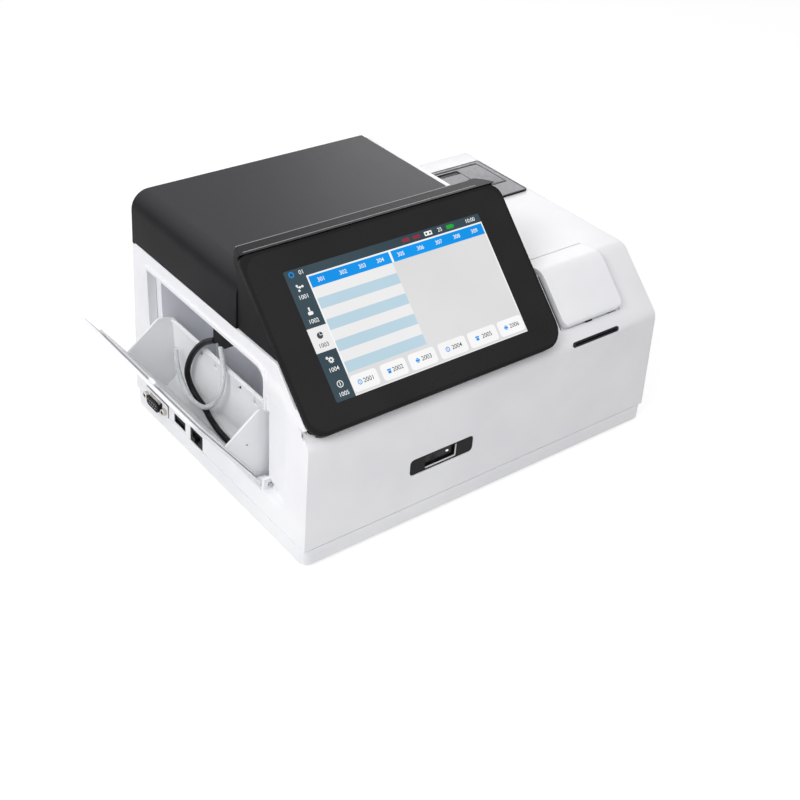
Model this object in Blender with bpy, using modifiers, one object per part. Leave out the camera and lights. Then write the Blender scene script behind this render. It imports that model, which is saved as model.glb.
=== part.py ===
"""Bench-top chemiluminescence immunoassay analyser, as an assembly of separate parts.

Metres, +Z up. The front wall with the scanner window faces -Y, and the tilt-out drawer is in the
left wall, which faces -X. Every part is placed in the case frame: x runs from the foot of the left
wall to the foot of the right wall, y from the front wall to the rear wall, z from the underside of
the base pan. One empty carries that frame, so that the bounding box stands centred on the origin.
"""

import math

import bmesh
import bpy
from mathutils import Matrix, Vector

# Case
WIDTH = 0.3000
DEPTH = 0.2150
WALL = 0.0025
GAP = 0.0003
RUNNING_GAP = 0.0001
OVERRUN = 0.0100
DRAFT = 0.03
FRONT_DRAFT = 0.02
CORNER_RADIUS = 0.0045
PAN_HEIGHT = 0.0114
SEAM = PAN_HEIGHT + GAP
DECK_HEIGHT = 0.1274
KNEE_DEPTH = 0.0407
KNEE_RADIUS = 0.0120
SHOULDER_RADIUS = 0.0100
SLOPE = math.radians(45)

# Base pan and feet
PAN_FLOOR = 0.0025
PAN_CORNER = 0.0060
FOOT_STAND = 0.0025
FOOT_RADIUS = 0.0080
FOOT_INSET = 0.0220

# Black hood and white riser on the left two thirds of the deck
HOOD_RISE = 0.0371
HOOD_TOP = DECK_HEIGHT + HOOD_RISE
HOOD_MARGIN = 0.1080
HOOD_RIGHT = WIDTH - HOOD_MARGIN
HOOD_RADIUS = 0.0130
HOOD_FRONT = 0.0835
RISER_WIDTH = 0.0035
RISER_MARGIN = 0.0030
RISER_REAR = DEPTH - RISER_MARGIN
CHEEK_WIDTH = 0.0030
CHEEK_RISE = 0.0011
CHEEK_TOP = DECK_HEIGHT + CHEEK_RISE
CHEEK_DEPTH = 0.0090
CHEEK_OFFSET = 0.0030
CHEEK_DROP = 0.0264
CHEEK_LOW = DECK_HEIGHT - CHEEK_DROP

# Screen housing, bezel and display, measured along the slope from the knee
BEZEL_OFFSET = 0.0080
BEZEL_THICKNESS = 0.0030
BEZEL_MARGIN = 0.0950
BEZEL_RIGHT = WIDTH - BEZEL_MARGIN
BEZEL_TOP = 0.0650
BEZEL_BOTTOM = -0.0510
BEZEL_EDGE = 0.0022
SCREEN_RISE = 0.0526
SCREEN_TOP = DECK_HEIGHT + SCREEN_RISE
SCREEN_STRIP_REAR = 0.0920
SCREEN_CORNER_TOP = 0.0190
SCREEN_CORNER_BOTTOM = 0.0150
SCREEN_CORNER_LEFT = 0.0110
GLASS_LEFT = 0.0225
GLASS_MARGIN = 0.0175
GLASS_RIGHT = BEZEL_RIGHT - GLASS_MARGIN
GLASS_TOP = 0.0550
GLASS_BOTTOM = -0.0405
GLASS_CORNER = 0.0020
GLASS_THICKNESS = 0.0018
DISPLAY_THICKNESS = 0.0048
DISPLAY_INSET = 0.0015
DISPLAY_PORT_INSET = 0.0080

# Cartridge lid, bay and carrier on the right of the slope
LID_WIDTH = 0.0550
LID_MARGIN = 0.0320
LID_RIGHT = WIDTH - LID_MARGIN
LID_LEFT = LID_RIGHT - LID_WIDTH
LID_REAR = 0.0565
LID_BOTTOM = -0.0420
LID_OFFSET = 0.0050
LID_WALL = 0.0018
LID_CORNER = 0.0060
LID_EDGE = 0.0014
LID_REAR_RISE = 0.0004
LID_KNEE_RISE = 0.0026
LID_HINGE_RADIUS = 0.0019
LID_PIN_RADIUS = 0.0007
LID_BOSS_WIDTH = 0.0030
BAY_INSET = 0.0045
BAY_FRONT = 0.0195
BAY_DEPTH = 0.0454
BAY_FLOOR = DECK_HEIGHT - BAY_DEPTH
BAY_WALL = 0.0016
BAY_TUNNEL_HEIGHT = 0.0180
BAY_TUNNEL_TOP = BAY_FLOOR + BAY_TUNNEL_HEIGHT
CARRIER_FRONT = 0.0230
CARRIER_LENGTH = 0.0340
CARRIER_HEIGHT = 0.0060
CARRIER_POCKET = 0.0035
CARRIER_RIM = 0.0040
MOTOR_SIZE = 0.0280

# Card slot on the shoulder
SLOT_WIDTH = 0.0432
SLOT_INSET = 0.0072
SLOT_RIGHT = LID_RIGHT - SLOT_INSET
SLOT_LEFT = SLOT_RIGHT - SLOT_WIDTH
SLOT_HEIGHT = 0.0032
SLOT_DEPTH = 0.0070
SLOT_SLIT = 0.0014
SLOT_MARGIN = 0.0020
SLOT_TILT = math.radians(22.5)
READER_LENGTH = 0.0065
READER_HEIGHT = 0.0080

# Scanner window in the front wall
SCANNER_LEFT = 0.0810
SCANNER_RIGHT = 0.1335
SCANNER_LOW = 0.0358
SCANNER_HIGH = 0.0485
SCANNER_CORNER = 0.0030
SCANNER_DEPTH = 0.0050
SCANNER_EYE_LEFT = 0.0935
SCANNER_EYE_RIGHT = 0.1194
SCANNER_EYE_MARGIN = 0.0014
SCANNER_GLASS = 0.0015
SCANNER_BODY_DEPTH = 0.0240

# Printer in the deck
PRINTER_WIDTH = 0.0830
PRINTER_DEPTH = 0.0583
PRINTER_MARGIN = 0.0080
PRINTER_SETBACK = 0.0187
PRINTER_RIGHT = WIDTH - PRINTER_MARGIN
PRINTER_LEFT = PRINTER_RIGHT - PRINTER_WIDTH
PRINTER_REAR = DEPTH - PRINTER_SETBACK
PRINTER_FRONT = PRINTER_REAR - PRINTER_DEPTH
BAY_MARGIN = 0.0360
BAY_REAR = PRINTER_FRONT - BAY_MARGIN
PRINTER_RISE = 0.0018
PRINTER_FLANGE = 0.0028
PRINTER_TUB_DEPTH = 0.0480
PRINTER_WALL = 0.0020
COVER_SETBACK = 0.0182
COVER_FRONT = PRINTER_FRONT + COVER_SETBACK
COVER_MARGIN = 0.0048
COVER_REAR = PRINTER_REAR - COVER_MARGIN
COVER_SIDE = 0.0050
COVER_THICKNESS = 0.0030
COVER_HINGE_RADIUS = 0.0019
COVER_PIN_RADIUS = 0.0008
EXIT_SLIT = 0.0014
PLATEN_RADIUS = 0.0040
PLATEN_INSET = 0.0085
PLATEN_DROP = 0.0062
PAPER_SETBACK = 0.0300
PAPER_RADIUS = 0.0180
PAPER_CORE = 0.0060
PAPER_WIDTH = 0.0570
LEVER_WIDTH = 0.0300
LEVER_LENGTH = 0.0142
LEVER_MARGIN = 0.0260
LEVER_SETBACK = 0.0138
LEVER_LEFT = PRINTER_LEFT + LEVER_MARGIN
LEVER_RIGHT = LEVER_LEFT + LEVER_WIDTH
LEVER_FRONT = COVER_FRONT + LEVER_SETBACK
LEVER_REAR = LEVER_FRONT + LEVER_LENGTH
LEVER_THICKNESS = 0.0014
LEVER_PIN_RADIUS = 0.0005
LEVER_PIN_REACH = 0.0012
LEVER_PIN_SETBACK = 0.0007

# Drawer opening in the left wall
OPENING_FRONT = 0.0500
OPENING_MARGIN = 0.0218
OPENING_REAR = DEPTH - OPENING_MARGIN
OPENING_LOW = 0.0270
OPENING_DROP = 0.0101
OPENING_HIGH = DECK_HEIGHT - OPENING_DROP
OPENING_CORNER = 0.0080
JAMB_DEPTH = 0.0085
JAMB_WALL = 0.0025
SCOOP_FRONT = 0.0255
SCOOP_DROP = 0.0173
SCOOP_TOP = OPENING_HIGH - SCOOP_DROP
SCOOP_DEPTH = 0.0072
SCOOP_EAR = 0.0100
LINER_FRONT_INSET = 0.0030
LINER_FRONT = OPENING_FRONT + LINER_FRONT_INSET
LINER_REAR_INSET = 0.0062
LINER_REAR = OPENING_REAR - LINER_REAR_INSET
LINER_DROP = 0.0023
LINER_HIGH = OPENING_HIGH - LINER_DROP
LINER_BACK = 0.0500
LINER_WALL = 0.0016

# Tilt-out drawer, written in its closed pose
HINGE_X = 0.0060
HINGE_Z = 0.0320
TILT = math.radians(38)
DOOR_CLEARANCE = 0.0005
DOOR_LOW = 0.0302
DOOR_THICKNESS = 0.0020
DOOR_CORNER = 0.0075
BIN_PLATE = 0.0014
BIN_PLATE_DROP = 0.0135
BIN_PLATE_TOP = OPENING_HIGH - BIN_PLATE_DROP
BIN_WALL = 0.0014
BIN_FRONT_INSET = 0.0065
BIN_FRONT = OPENING_FRONT + BIN_FRONT_INSET
BIN_REAR_INSET = 0.0097
BIN_REAR = OPENING_REAR - BIN_REAR_INSET
BIN_DROP = 0.0418
BIN_TOP = OPENING_HIGH - BIN_DROP
BIN_SHOULDER_X = 0.0365
BIN_RAIL_X = 0.0440
BIN_RAIL_DROP = 0.0095
BIN_RAIL_Z = BIN_TOP - BIN_RAIL_DROP
BIN_RAIL_WIDTH = 0.0024
BIN_RAIL_THICKNESS = 0.0014
BIN_FLOOR_X = 0.0170
BIN_FLOOR_Z = 0.0293
BIN_FLOOR_RADIUS = 0.0080
BIN_HOLE = 0.0050
BIN_HOLE_DROP = 0.0035
BIN_HOLE_SHARES = (0.30, 0.46, 0.68, 0.84)
DRAWER_PIN_RADIUS = 0.0014
DRAWER_PIN_LENGTH = 0.0105
DRAWER_LUG_RADIUS = 0.0026
DRAWER_LUG_WIDTH = 0.0040

# Tubes and their fitting under the roof of the drawer compartment
FITTING_LEFT = 0.0085
FITTING_RIGHT = 0.0185
FITTING_FRONT = 0.0930
FITTING_REAR = 0.1185
FITTING_HEIGHT = 0.0137
FITTING_STEP = 0.0095
BARB_RADIUS = 0.0015
BARB_LENGTH = 0.0090
BLACK_TUBE_RADIUS = 0.0021
CLEAR_TUBE_RADIUS = 0.0017
BLACK_TUBE_ROUTE = (
    (0.0107, 0.1202, 0.0987),
    (0.0104, 0.1252, 0.0956),
    (0.0101, 0.1334, 0.0899),
    (0.0100, 0.1430, 0.0804),
    (0.0099, 0.1511, 0.0692),
    (0.0098, 0.1562, 0.0580),
    (0.0102, 0.1572, 0.0500),
    (0.0109, 0.1536, 0.0423),
    (0.0113, 0.1460, 0.0376),
    (0.0107, 0.1355, 0.0353),
    (0.0086, 0.1240, 0.0338),
    (0.0072, 0.1100, 0.0327),
    (0.0070, 0.0920, 0.0324),
    (0.0070, 0.0660, 0.0324),
)
CLEAR_TUBE_ROUTE = (
    (0.0108, 0.1136, 0.0980),
    (0.0107, 0.1130, 0.0946),
    (0.0103, 0.1109, 0.0886),
    (0.0098, 0.1090, 0.0810),
    (0.0092, 0.1092, 0.0710),
    (0.0086, 0.1136, 0.0590),
    (0.0078, 0.1210, 0.0485),
    (0.0070, 0.1310, 0.0412),
    (0.0068, 0.1420, 0.0384),
    (0.0067, 0.1520, 0.0398),
    (0.0071, 0.1610, 0.0464),
    (0.0075, 0.1665, 0.0560),
    (0.0080, 0.1685, 0.0670),
)
ROUTE_STEP = 0.0070

# Ports at the foot of the left wall
PORT_WALL_GAP = 0.0003
SERIAL_WIDTH = 0.0310
SERIAL_MARGIN = 0.0150
SERIAL_REAR = DEPTH - SERIAL_MARGIN
SERIAL_FRONT = SERIAL_REAR - SERIAL_WIDTH
SERIAL_LOW = 0.0105
SERIAL_HEIGHT = 0.0108
SERIAL_SHELL_WIDTH = 0.0169
SERIAL_SHELL_HEIGHT = 0.0083
SERIAL_SHELL_REACH = 0.0058
SERIAL_SHELL_SLANT = math.radians(10)
SERIAL_FLANGE = 0.0010
SERIAL_BODY_LENGTH = 0.0110
SERIAL_SETBACK = 0.0003
SERIAL_SCREW_PITCH = 0.0250
SERIAL_SCREW_RADIUS = 0.0024
USB_WIDTH = 0.0147
USB_SPACING = 0.0080
USB_REAR = SERIAL_FRONT - USB_SPACING
USB_FRONT = USB_REAR - USB_WIDTH
USB_LOW = 0.0135
USB_HIGH = 0.0203
USB_WALL = 0.0006
USB_LENGTH = 0.0140
USB_TONGUE = 0.0018
NETWORK_WIDTH = 0.0158
NETWORK_SPACING = 0.0073
NETWORK_REAR = USB_FRONT - NETWORK_SPACING
NETWORK_FRONT = NETWORK_REAR - NETWORK_WIDTH
NETWORK_LOW = 0.0118
NETWORK_HIGH = 0.0226
NETWORK_LENGTH = 0.0180
NETWORK_MOUTH_MARGIN = 0.0020
NETWORK_MOUTH_DEPTH = 0.0120
NETWORK_KEY = 0.0022

# Power inlet, switch and vents in the rear wall
INLET_X = 0.0450
INLET_Z = 0.0260
INLET_RADIUS = 0.0045
INLET_BORE = 0.0028
INLET_PIN = 0.0010
INLET_LENGTH = 0.0120
INLET_LIP = 0.0012
INLET_LIP_RADIUS = 0.0062
SWITCH_X = 0.0750
SWITCH_WIDTH = 0.0130
SWITCH_HEIGHT = 0.0190
SWITCH_LIP = 0.0015
SWITCH_BODY_LENGTH = 0.0140
SWITCH_WALL = 0.0014
ROCKER_THICKNESS = 0.0052
VENT_COUNT = 9
VENT_WIDTH = 0.0026
VENT_HEIGHT = 0.0340
VENT_PITCH = 0.0066
VENT_LEFT = 0.1150
VENT_LOW = 0.0480

# Inside the case
BOARD_LEFT = 0.0070
BOARD_RIGHT = 0.1500
BOARD_FRONT = 0.0900
BOARD_MARGIN = 0.0090
BOARD_REAR = DEPTH - BOARD_MARGIN
BOARD_LEVEL = 0.0099
BOARD_THICKNESS = 0.0016
STANDOFF_RADIUS = 0.0030
STANDOFF_INSET = 0.0070
PUMP_FRONT = 0.1100
PUMP_LENGTH = 0.0360
PUMP_LOW = 0.0580
PUMP_HEIGHT = 0.0360
PUMP_DEPTH = 0.0120
PUMP_MOTOR_RADIUS = 0.0120
PUMP_MOTOR_LENGTH = 0.0300
INCUBATOR_LENGTH = 0.0280
INCUBATOR_DROP = 0.0200
INCUBATOR_LOW = BAY_FLOOR - INCUBATOR_DROP
INCUBATOR_HEIGHT = 0.0500
INCUBATOR_HIGH = INCUBATOR_LOW + INCUBATOR_HEIGHT
PHOTO_RADIUS = 0.0160
PHOTO_LENGTH = 0.0600
PHOTO_RISE = 0.0260
PHOTO_HEIGHT = INCUBATOR_LOW + PHOTO_RISE

# Faces round a full turn
COARSE = 16
FINE = 32
ARC_STEPS = 4

ALONG_X = Matrix(((0, 0, 1, 0), (1, 0, 0, 0), (0, 1, 0, 0), (0, 0, 0, 1)))
ALONG_Y = Matrix(((1, 0, 0, 0), (0, 0, -1, 0), (0, 1, 0, 0), (0, 0, 0, 1)))
ALONG_Z = Matrix.Identity(4)
KNEE_POINT = Vector((0, KNEE_DEPTH, DECK_HEIGHT))
ON_SLOPE = Matrix.Translation(KNEE_POINT) @ Matrix.Rotation(SLOPE, 4, "X")
HINGE_POINT = Vector((HINGE_X, 0, HINGE_Z))
OPENED = Matrix.Translation(HINGE_POINT) @ Matrix.Rotation(-TILT, 4, "Y")


# Scene and materials


def clear_scene():
    for obj in list(bpy.data.objects):
        bpy.data.objects.remove(obj, do_unlink=True)


def new_collection(name):
    made = bpy.data.collections.new(name)
    bpy.context.scene.collection.children.link(made)
    return made


def material(name, colour, roughness, metallic=0.0):
    """A Principled BSDF of one colour."""
    made = bpy.data.materials.new(name)
    made.use_nodes = True
    shader = made.node_tree.nodes["Principled BSDF"]
    shader.inputs["Base Color"].default_value = (*colour, 1.0)
    shader.inputs["Roughness"].default_value = roughness
    shader.inputs["Metallic"].default_value = metallic
    made.diffuse_color = (*colour, 1.0)
    return made


clear_scene()
PARTS = new_collection("Immunoassay analyser")
CUTTERS = new_collection("Cutters")
WHITE = material("White housing plastic", (0.86, 0.86, 0.87), 0.45)
PALE = material("Pale grey bin plastic", (0.74, 0.75, 0.77), 0.50)
BLACK = material("Black housing plastic", (0.030, 0.030, 0.032), 0.42)
DARK = material("Dark grey plastic", (0.055, 0.055, 0.065), 0.50)
GLASS = material("Black cover glass", (0.012, 0.012, 0.014), 0.08)
STEEL = material("Brushed steel", (0.62, 0.63, 0.65), 0.30, 1.0)
RUBBER = material("Rubber", (0.040, 0.040, 0.040), 0.85)
PAPER = material("Thermal paper", (0.88, 0.88, 0.86), 0.80)
GREEN = material("Circuit board", (0.030, 0.140, 0.060), 0.45)
ALUMINIUM = material("Aluminium", (0.70, 0.71, 0.73), 0.35, 1.0)
CLEAR = material("Clear tubing", (0.80, 0.83, 0.84), 0.20)


# Shapes


def new_object(name, mesh, finish=None):
    made = bpy.data.objects.new(name, mesh)
    PARTS.objects.link(made)
    if finish:
        mesh.materials.clear()
        mesh.materials.append(finish)
    return made


def box(name, low, high, finish=None):
    """A box between two corners of the case frame."""
    low = Vector(low)
    high = Vector(high)
    mesh = bpy.data.meshes.new(name)
    cage = bmesh.new()
    place = Matrix.Translation((low + high) / 2) @ Matrix.Diagonal((*(high - low), 1))
    bmesh.ops.create_cube(cage, size=1, matrix=place)
    cage.to_mesh(mesh)
    cage.free()
    return new_object(name, mesh, finish)


def rod(name, start, end, radius, finish=None, sides=COARSE, end_radius=None):
    """A round bar, or a cone, from one point of its axis to another."""
    start = Vector(start)
    end = Vector(end)
    turn = (end - start).to_track_quat("Z", "Y").to_matrix().to_4x4()
    mesh = bpy.data.meshes.new(name)
    cage = bmesh.new()
    bmesh.ops.create_cone(
        cage,
        cap_ends=True,
        segments=sides,
        radius1=radius,
        radius2=radius if end_radius is None else end_radius,
        depth=(end - start).length,
        matrix=Matrix.Translation((start + end) / 2) @ turn,
    )
    cage.to_mesh(mesh)
    cage.free()
    made = new_object(name, mesh, finish)
    mesh.shade_smooth()
    mesh.set_sharp_from_angle(angle=math.radians(40))
    return made


def filleted(corners, steps=ARC_STEPS):
    """Outline points of a polygon whose corners (u, v, radius) are rounded by arcs."""
    points = []
    count = len(corners)
    for index, (u, v, radius) in enumerate(corners):
        here = Vector((u, v))
        if not radius:
            points.append(here)
            continue
        before = (Vector(corners[index - 1][:2]) - here).normalized()
        after = (Vector(corners[(index + 1) % count][:2]) - here).normalized()
        half = before.angle(after) / 2
        reach = radius / math.tan(half)
        centre = here + (before + after).normalized() * (radius / math.sin(half))
        first = here + before * reach - centre
        sweep = first.angle_signed(here + after * reach - centre)
        for step in range(steps + 1):
            turn = Matrix.Rotation(-sweep * step / steps, 2)
            points.append(centre + turn @ first)
    return points


def rounded_rectangle(left, bottom, right, top, radius):
    return [
        (left, bottom, radius),
        (right, bottom, radius),
        (right, top, radius),
        (left, top, radius),
    ]


def plate(name, corners, frame, low, high, finish=None, steps=ARC_STEPS):
    """A flat outline given thickness, between two heights over the plane of its frame."""
    curve = bpy.data.curves.new(name, "CURVE")
    curve.dimensions = "2D"
    curve.fill_mode = "BOTH"
    curve.extrude = (high - low) / 2
    points = filleted(corners, steps)
    spline = curve.splines.new("POLY")
    spline.points.add(len(points) - 1)
    for place, (u, v) in zip(spline.points, points):
        place.co = (u, v, 0, 1)
    spline.use_cyclic_u = True
    rough = bpy.data.objects.new(name, curve)
    bpy.context.scene.collection.objects.link(rough)
    rough.matrix_world = frame @ Matrix.Translation((0, 0, (low + high) / 2))
    bpy.context.view_layer.update()
    graph = bpy.context.evaluated_depsgraph_get()
    mesh = bpy.data.meshes.new_from_object(rough.evaluated_get(graph))
    mesh.transform(rough.matrix_world)
    bpy.data.objects.remove(rough)
    cage = bmesh.new()
    cage.from_mesh(mesh)
    bmesh.ops.remove_doubles(cage, verts=cage.verts, dist=1e-7)
    bmesh.ops.recalc_face_normals(cage, faces=cage.faces)
    cage.to_mesh(mesh)
    cage.free()
    return new_object(name, mesh, finish)


def along_x(name, corners, left, right, finish=None, steps=ARC_STEPS):
    """An outline in (y, z) swept from one x to another."""
    return plate(name, corners, ALONG_X, left, right, finish, steps)


def along_y(name, corners, front, rear, finish=None, steps=ARC_STEPS):
    """An outline in (x, z) swept from one y to another."""
    return plate(name, corners, ALONG_Y, -rear, -front, finish, steps)


def along_z(name, corners, low, high, finish=None, steps=ARC_STEPS):
    """An outline in (x, y) swept from one z to another."""
    return plate(name, corners, ALONG_Z, low, high, finish, steps)


def over_slope(name, corners, low, high, finish=None, steps=ARC_STEPS):
    """An outline in (x, distance up the slope from the knee), between two heights over it."""
    return plate(name, corners, ON_SLOPE, low, high, finish, steps)


def bevel(obj, width, segments=3, angle=60):
    made = obj.modifiers.new("Bevel", "BEVEL")
    made.width = width
    made.segments = segments
    made.limit_method = "ANGLE"
    made.angle_limit = math.radians(angle)
    return obj


def baked(obj):
    """The object with its modifiers applied."""
    bpy.context.view_layer.update()
    graph = bpy.context.evaluated_depsgraph_get()
    mesh = bpy.data.meshes.new_from_object(obj.evaluated_get(graph))
    obj.modifiers.clear()
    obj.data = mesh
    return obj


def drafted(obj):
    """Side walls leaning in towards the top, each by DRAFT."""
    for vertex in baked(obj).data.vertices:
        lean = 1 - DRAFT * vertex.co.z / (WIDTH / 2)
        vertex.co.x = WIDTH / 2 + (vertex.co.x - WIDTH / 2) * lean
    return obj


def boolean(obj, tool, operation):
    made = obj.modifiers.new(operation.title(), "BOOLEAN")
    made.operation = operation
    made.object = tool
    if tool.name in PARTS.objects:
        PARTS.objects.unlink(tool)
        CUTTERS.objects.link(tool)
    tool.hide_render = True
    tool.display_type = "WIRE"


def cut(obj, *tools):
    for tool in tools:
        boolean(obj, tool, "DIFFERENCE")
    return obj


def join(obj, *tools):
    for tool in tools:
        boolean(obj, tool, "UNION")
    return obj


def keep_common(obj, tool):
    boolean(obj, tool, "INTERSECT")
    return obj


def tube(name, route, radius, finish, sides=2):
    """A bent round tube through the points of its route, straight at both ends."""
    points = [Vector(place) for place in route]
    smooth = [points[0]]
    padded = [points[0] * 2 - points[1], *points, points[-1] * 2 - points[-2]]
    for index in range(1, len(padded) - 2):
        a, b, c, d = padded[index - 1 : index + 3]
        count = max(2, round((c - b).length / ROUTE_STEP))
        for step in range(1, count + 1):
            t = step / count
            along = (c - a) * t + (a * 2 - b * 5 + c * 4 - d) * t**2
            smooth.append(b + (along + (b * 3 - a - c * 3 + d) * t**3) / 2)
    curve = bpy.data.curves.new(name, "CURVE")
    curve.dimensions = "3D"
    curve.bevel_depth = radius
    curve.bevel_resolution = sides
    curve.use_fill_caps = True
    spline = curve.splines.new("POLY")
    spline.points.add(len(smooth) - 1)
    for place, point in zip(spline.points, smooth):
        place.co = (*point, 1)
    curve.materials.append(finish)
    made = bpy.data.objects.new(name, curve)
    PARTS.objects.link(made)
    return made


# Places on the slanted front of the case


def front_at(height, inset=0.0):
    """Depth of the front wall at a height, or of a surface that far inside it."""
    return FRONT_DRAFT * height + inset


def shoulder(offset, inset):
    """Where a surface parallel to the slope meets one parallel to the front wall."""
    rise = DECK_HEIGHT - KNEE_DEPTH + offset / math.cos(SLOPE)
    height = (rise + inset) / (1 - FRONT_DRAFT)
    return front_at(height, inset), height


def knee(offset, height):
    """Where a surface parallel to the slope meets a level one."""
    return height - (DECK_HEIGHT - KNEE_DEPTH) - offset / math.cos(SLOPE), height


def slope_point(up, offset):
    """Depth and height of a point on the slope, from its distance up it and its height over it."""
    place = ON_SLOPE @ Vector((0, up, offset))
    return place.y, place.z


def left_wall(height, inset=0.0):
    """x of the outer face of the left wall at a height, or of a surface that far inside it."""
    return DRAFT * height + inset


def case_outline(inset, foot):
    """Side outline (y, z, radius) of the case, or of the space that far inside it."""
    return [
        (front_at(foot, inset), foot, 0),
        (*shoulder(-inset, inset), SHOULDER_RADIUS - inset),
        (*knee(-inset, DECK_HEIGHT - inset), KNEE_RADIUS - inset),
        (DEPTH - inset, DECK_HEIGHT - inset, 0),
        (DEPTH - inset, foot, 0),
    ]


# Base


def make_base_pan():
    """Shallow tray that closes the case from below and carries the boards."""
    base = along_z(
        "base_pan",
        rounded_rectangle(0, 0, WIDTH, DEPTH, PAN_CORNER),
        0,
        PAN_HEIGHT,
        WHITE,
    )
    hollow = along_z(
        "pan_hollow",
        rounded_rectangle(WALL, WALL, WIDTH - WALL, DEPTH - WALL, PAN_CORNER - WALL),
        PAN_FLOOR,
        PAN_HEIGHT + OVERRUN,
    )
    cut(base, hollow)
    for index, (x, y) in enumerate(standoff_places()):
        top = BOARD_LEVEL - GAP
        join(base, rod(f"standoff_{index}", (x, y, PAN_FLOOR / 2), (x, y, top), STANDOFF_RADIUS))
    return base


def standoff_places():
    left, right = BOARD_LEFT + STANDOFF_INSET, BOARD_RIGHT - STANDOFF_INSET
    front, rear = BOARD_FRONT + STANDOFF_INSET, BOARD_REAR - STANDOFF_INSET
    return [(left, front), (right, front), (left, rear), (right, rear)]


def make_feet():
    places = [
        (x, y)
        for x in (FOOT_INSET, WIDTH - FOOT_INSET)
        for y in (FOOT_INSET, DEPTH - FOOT_INSET)
    ]
    for index, (x, y) in enumerate(places, start=1):
        rod(f"foot_{index}", (x, y, -FOOT_STAND), (x, y, -GAP), FOOT_RADIUS, RUBBER)


# Main housing


def cheek_corners(grow=0.0):
    """Side outline of the white rim that stands up round the black parts on the left wall."""
    low = CHEEK_LOW - CHEEK_OFFSET
    return [
        (front_at(low) + CHEEK_DEPTH, low - grow, 0),
        (*knee(CHEEK_OFFSET + grow, CHEEK_LOW), WALL),
        (*knee(CHEEK_OFFSET + grow, CHEEK_TOP + grow), WALL * 2),
        (RISER_REAR + grow, CHEEK_TOP + grow, WALL / 2),
        (RISER_REAR + grow, CHEEK_TOP - CHEEK_DEPTH, 0),
        (KNEE_DEPTH, CHEEK_TOP - CHEEK_DEPTH, 0),
    ]


def make_cheek(name, grow=0.0):
    left = -OVERRUN if grow else 0
    return drafted(along_x(name, cheek_corners(grow), left, CHEEK_WIDTH + grow))


def drawer_opening(name, inset, left, right):
    return along_x(
        name,
        [
            (OPENING_FRONT - inset, OPENING_LOW - inset, 0),
            (OPENING_REAR + inset, OPENING_LOW - inset, 0),
            (OPENING_REAR + inset, OPENING_HIGH + inset, 0),
            (OPENING_FRONT - inset, OPENING_HIGH + inset, OPENING_CORNER + inset),
        ],
        left,
        right,
    )


def make_main_housing():
    """White shell with the console slope, deck, riser and every opening."""
    shell = along_x("main_housing", case_outline(0, -OVERRUN), 0, WIDTH, WHITE, steps=6)
    drafted(bevel(shell, CORNER_RADIUS))
    cavity = along_x("case_cavity", case_outline(WALL, -OVERRUN * 2), WALL, WIDTH - WALL, steps=6)
    cut(shell, drafted(cavity))
    below = box(
        "below_seam",
        (-OVERRUN, -OVERRUN, -OVERRUN * 3),
        (WIDTH + OVERRUN, DEPTH + OVERRUN, SEAM),
    )
    cut(shell, below)
    riser = along_x(
        "riser",
        [
            (SCREEN_STRIP_REAR, DECK_HEIGHT - WALL / 2, 0),
            (RISER_REAR, DECK_HEIGHT - WALL / 2, 0),
            (RISER_REAR, HOOD_TOP, WALL),
            (SCREEN_STRIP_REAR, HOOD_TOP, 0),
        ],
        HOOD_RIGHT + GAP,
        HOOD_RIGHT + GAP + RISER_WIDTH,
    )
    join(shell, riser, make_cheek("cheek"))
    add_drawer_opening(shell)
    add_top_openings(shell)
    add_wall_openings(shell)
    return shell


def add_drawer_opening(shell):
    """Framed opening of the tilt-out drawer, with the finger scoop in front of it."""
    skin = left_wall(OPENING_LOW) + WALL / 2
    frame = drawer_opening("opening_frame", JAMB_WALL, skin, JAMB_DEPTH)
    backing = along_x(
        "scoop_backing",
        [
            (SCOOP_FRONT - WALL, OPENING_LOW - JAMB_WALL, 0),
            (OPENING_FRONT, OPENING_LOW - JAMB_WALL, 0),
            (OPENING_FRONT, SCOOP_TOP + WALL, 0),
            (SCOOP_FRONT - WALL, SCOOP_TOP + WALL, 0),
        ],
        skin,
        SCOOP_DEPTH + WALL,
    )
    scoop = along_y(
        "finger_scoop",
        [
            (-OVERRUN, OPENING_LOW + WALL / 2, 0),
            (SCOOP_DEPTH, OPENING_LOW + WALL / 2, 0),
            (left_wall(SCOOP_TOP), SCOOP_TOP, 0),
            (-OVERRUN, SCOOP_TOP + OVERRUN, 0),
        ],
        SCOOP_FRONT,
        OPENING_FRONT - JAMB_WALL,
    )
    grip = box(
        "finger_gap",
        (-OVERRUN, OPENING_FRONT - JAMB_WALL * 2, HINGE_Z + SCOOP_EAR / 2),
        (SCOOP_DEPTH * 0.9, OPENING_FRONT + WALL, SCOOP_TOP - SCOOP_EAR),
    )
    join(shell, frame, backing)
    cut(shell, drawer_opening("drawer_opening", 0, -OVERRUN, JAMB_DEPTH + OVERRUN), scoop, grip)
    for name, y in (("front_pin_hole", OPENING_FRONT), ("rear_pin_hole", OPENING_REAR)):
        start = (HINGE_X, y - DRAWER_PIN_LENGTH, HINGE_Z)
        end = (HINGE_X, y + DRAWER_PIN_LENGTH, HINGE_Z)
        cut(shell, rod(name, start, end, DRAWER_PIN_RADIUS + RUNNING_GAP))


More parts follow.
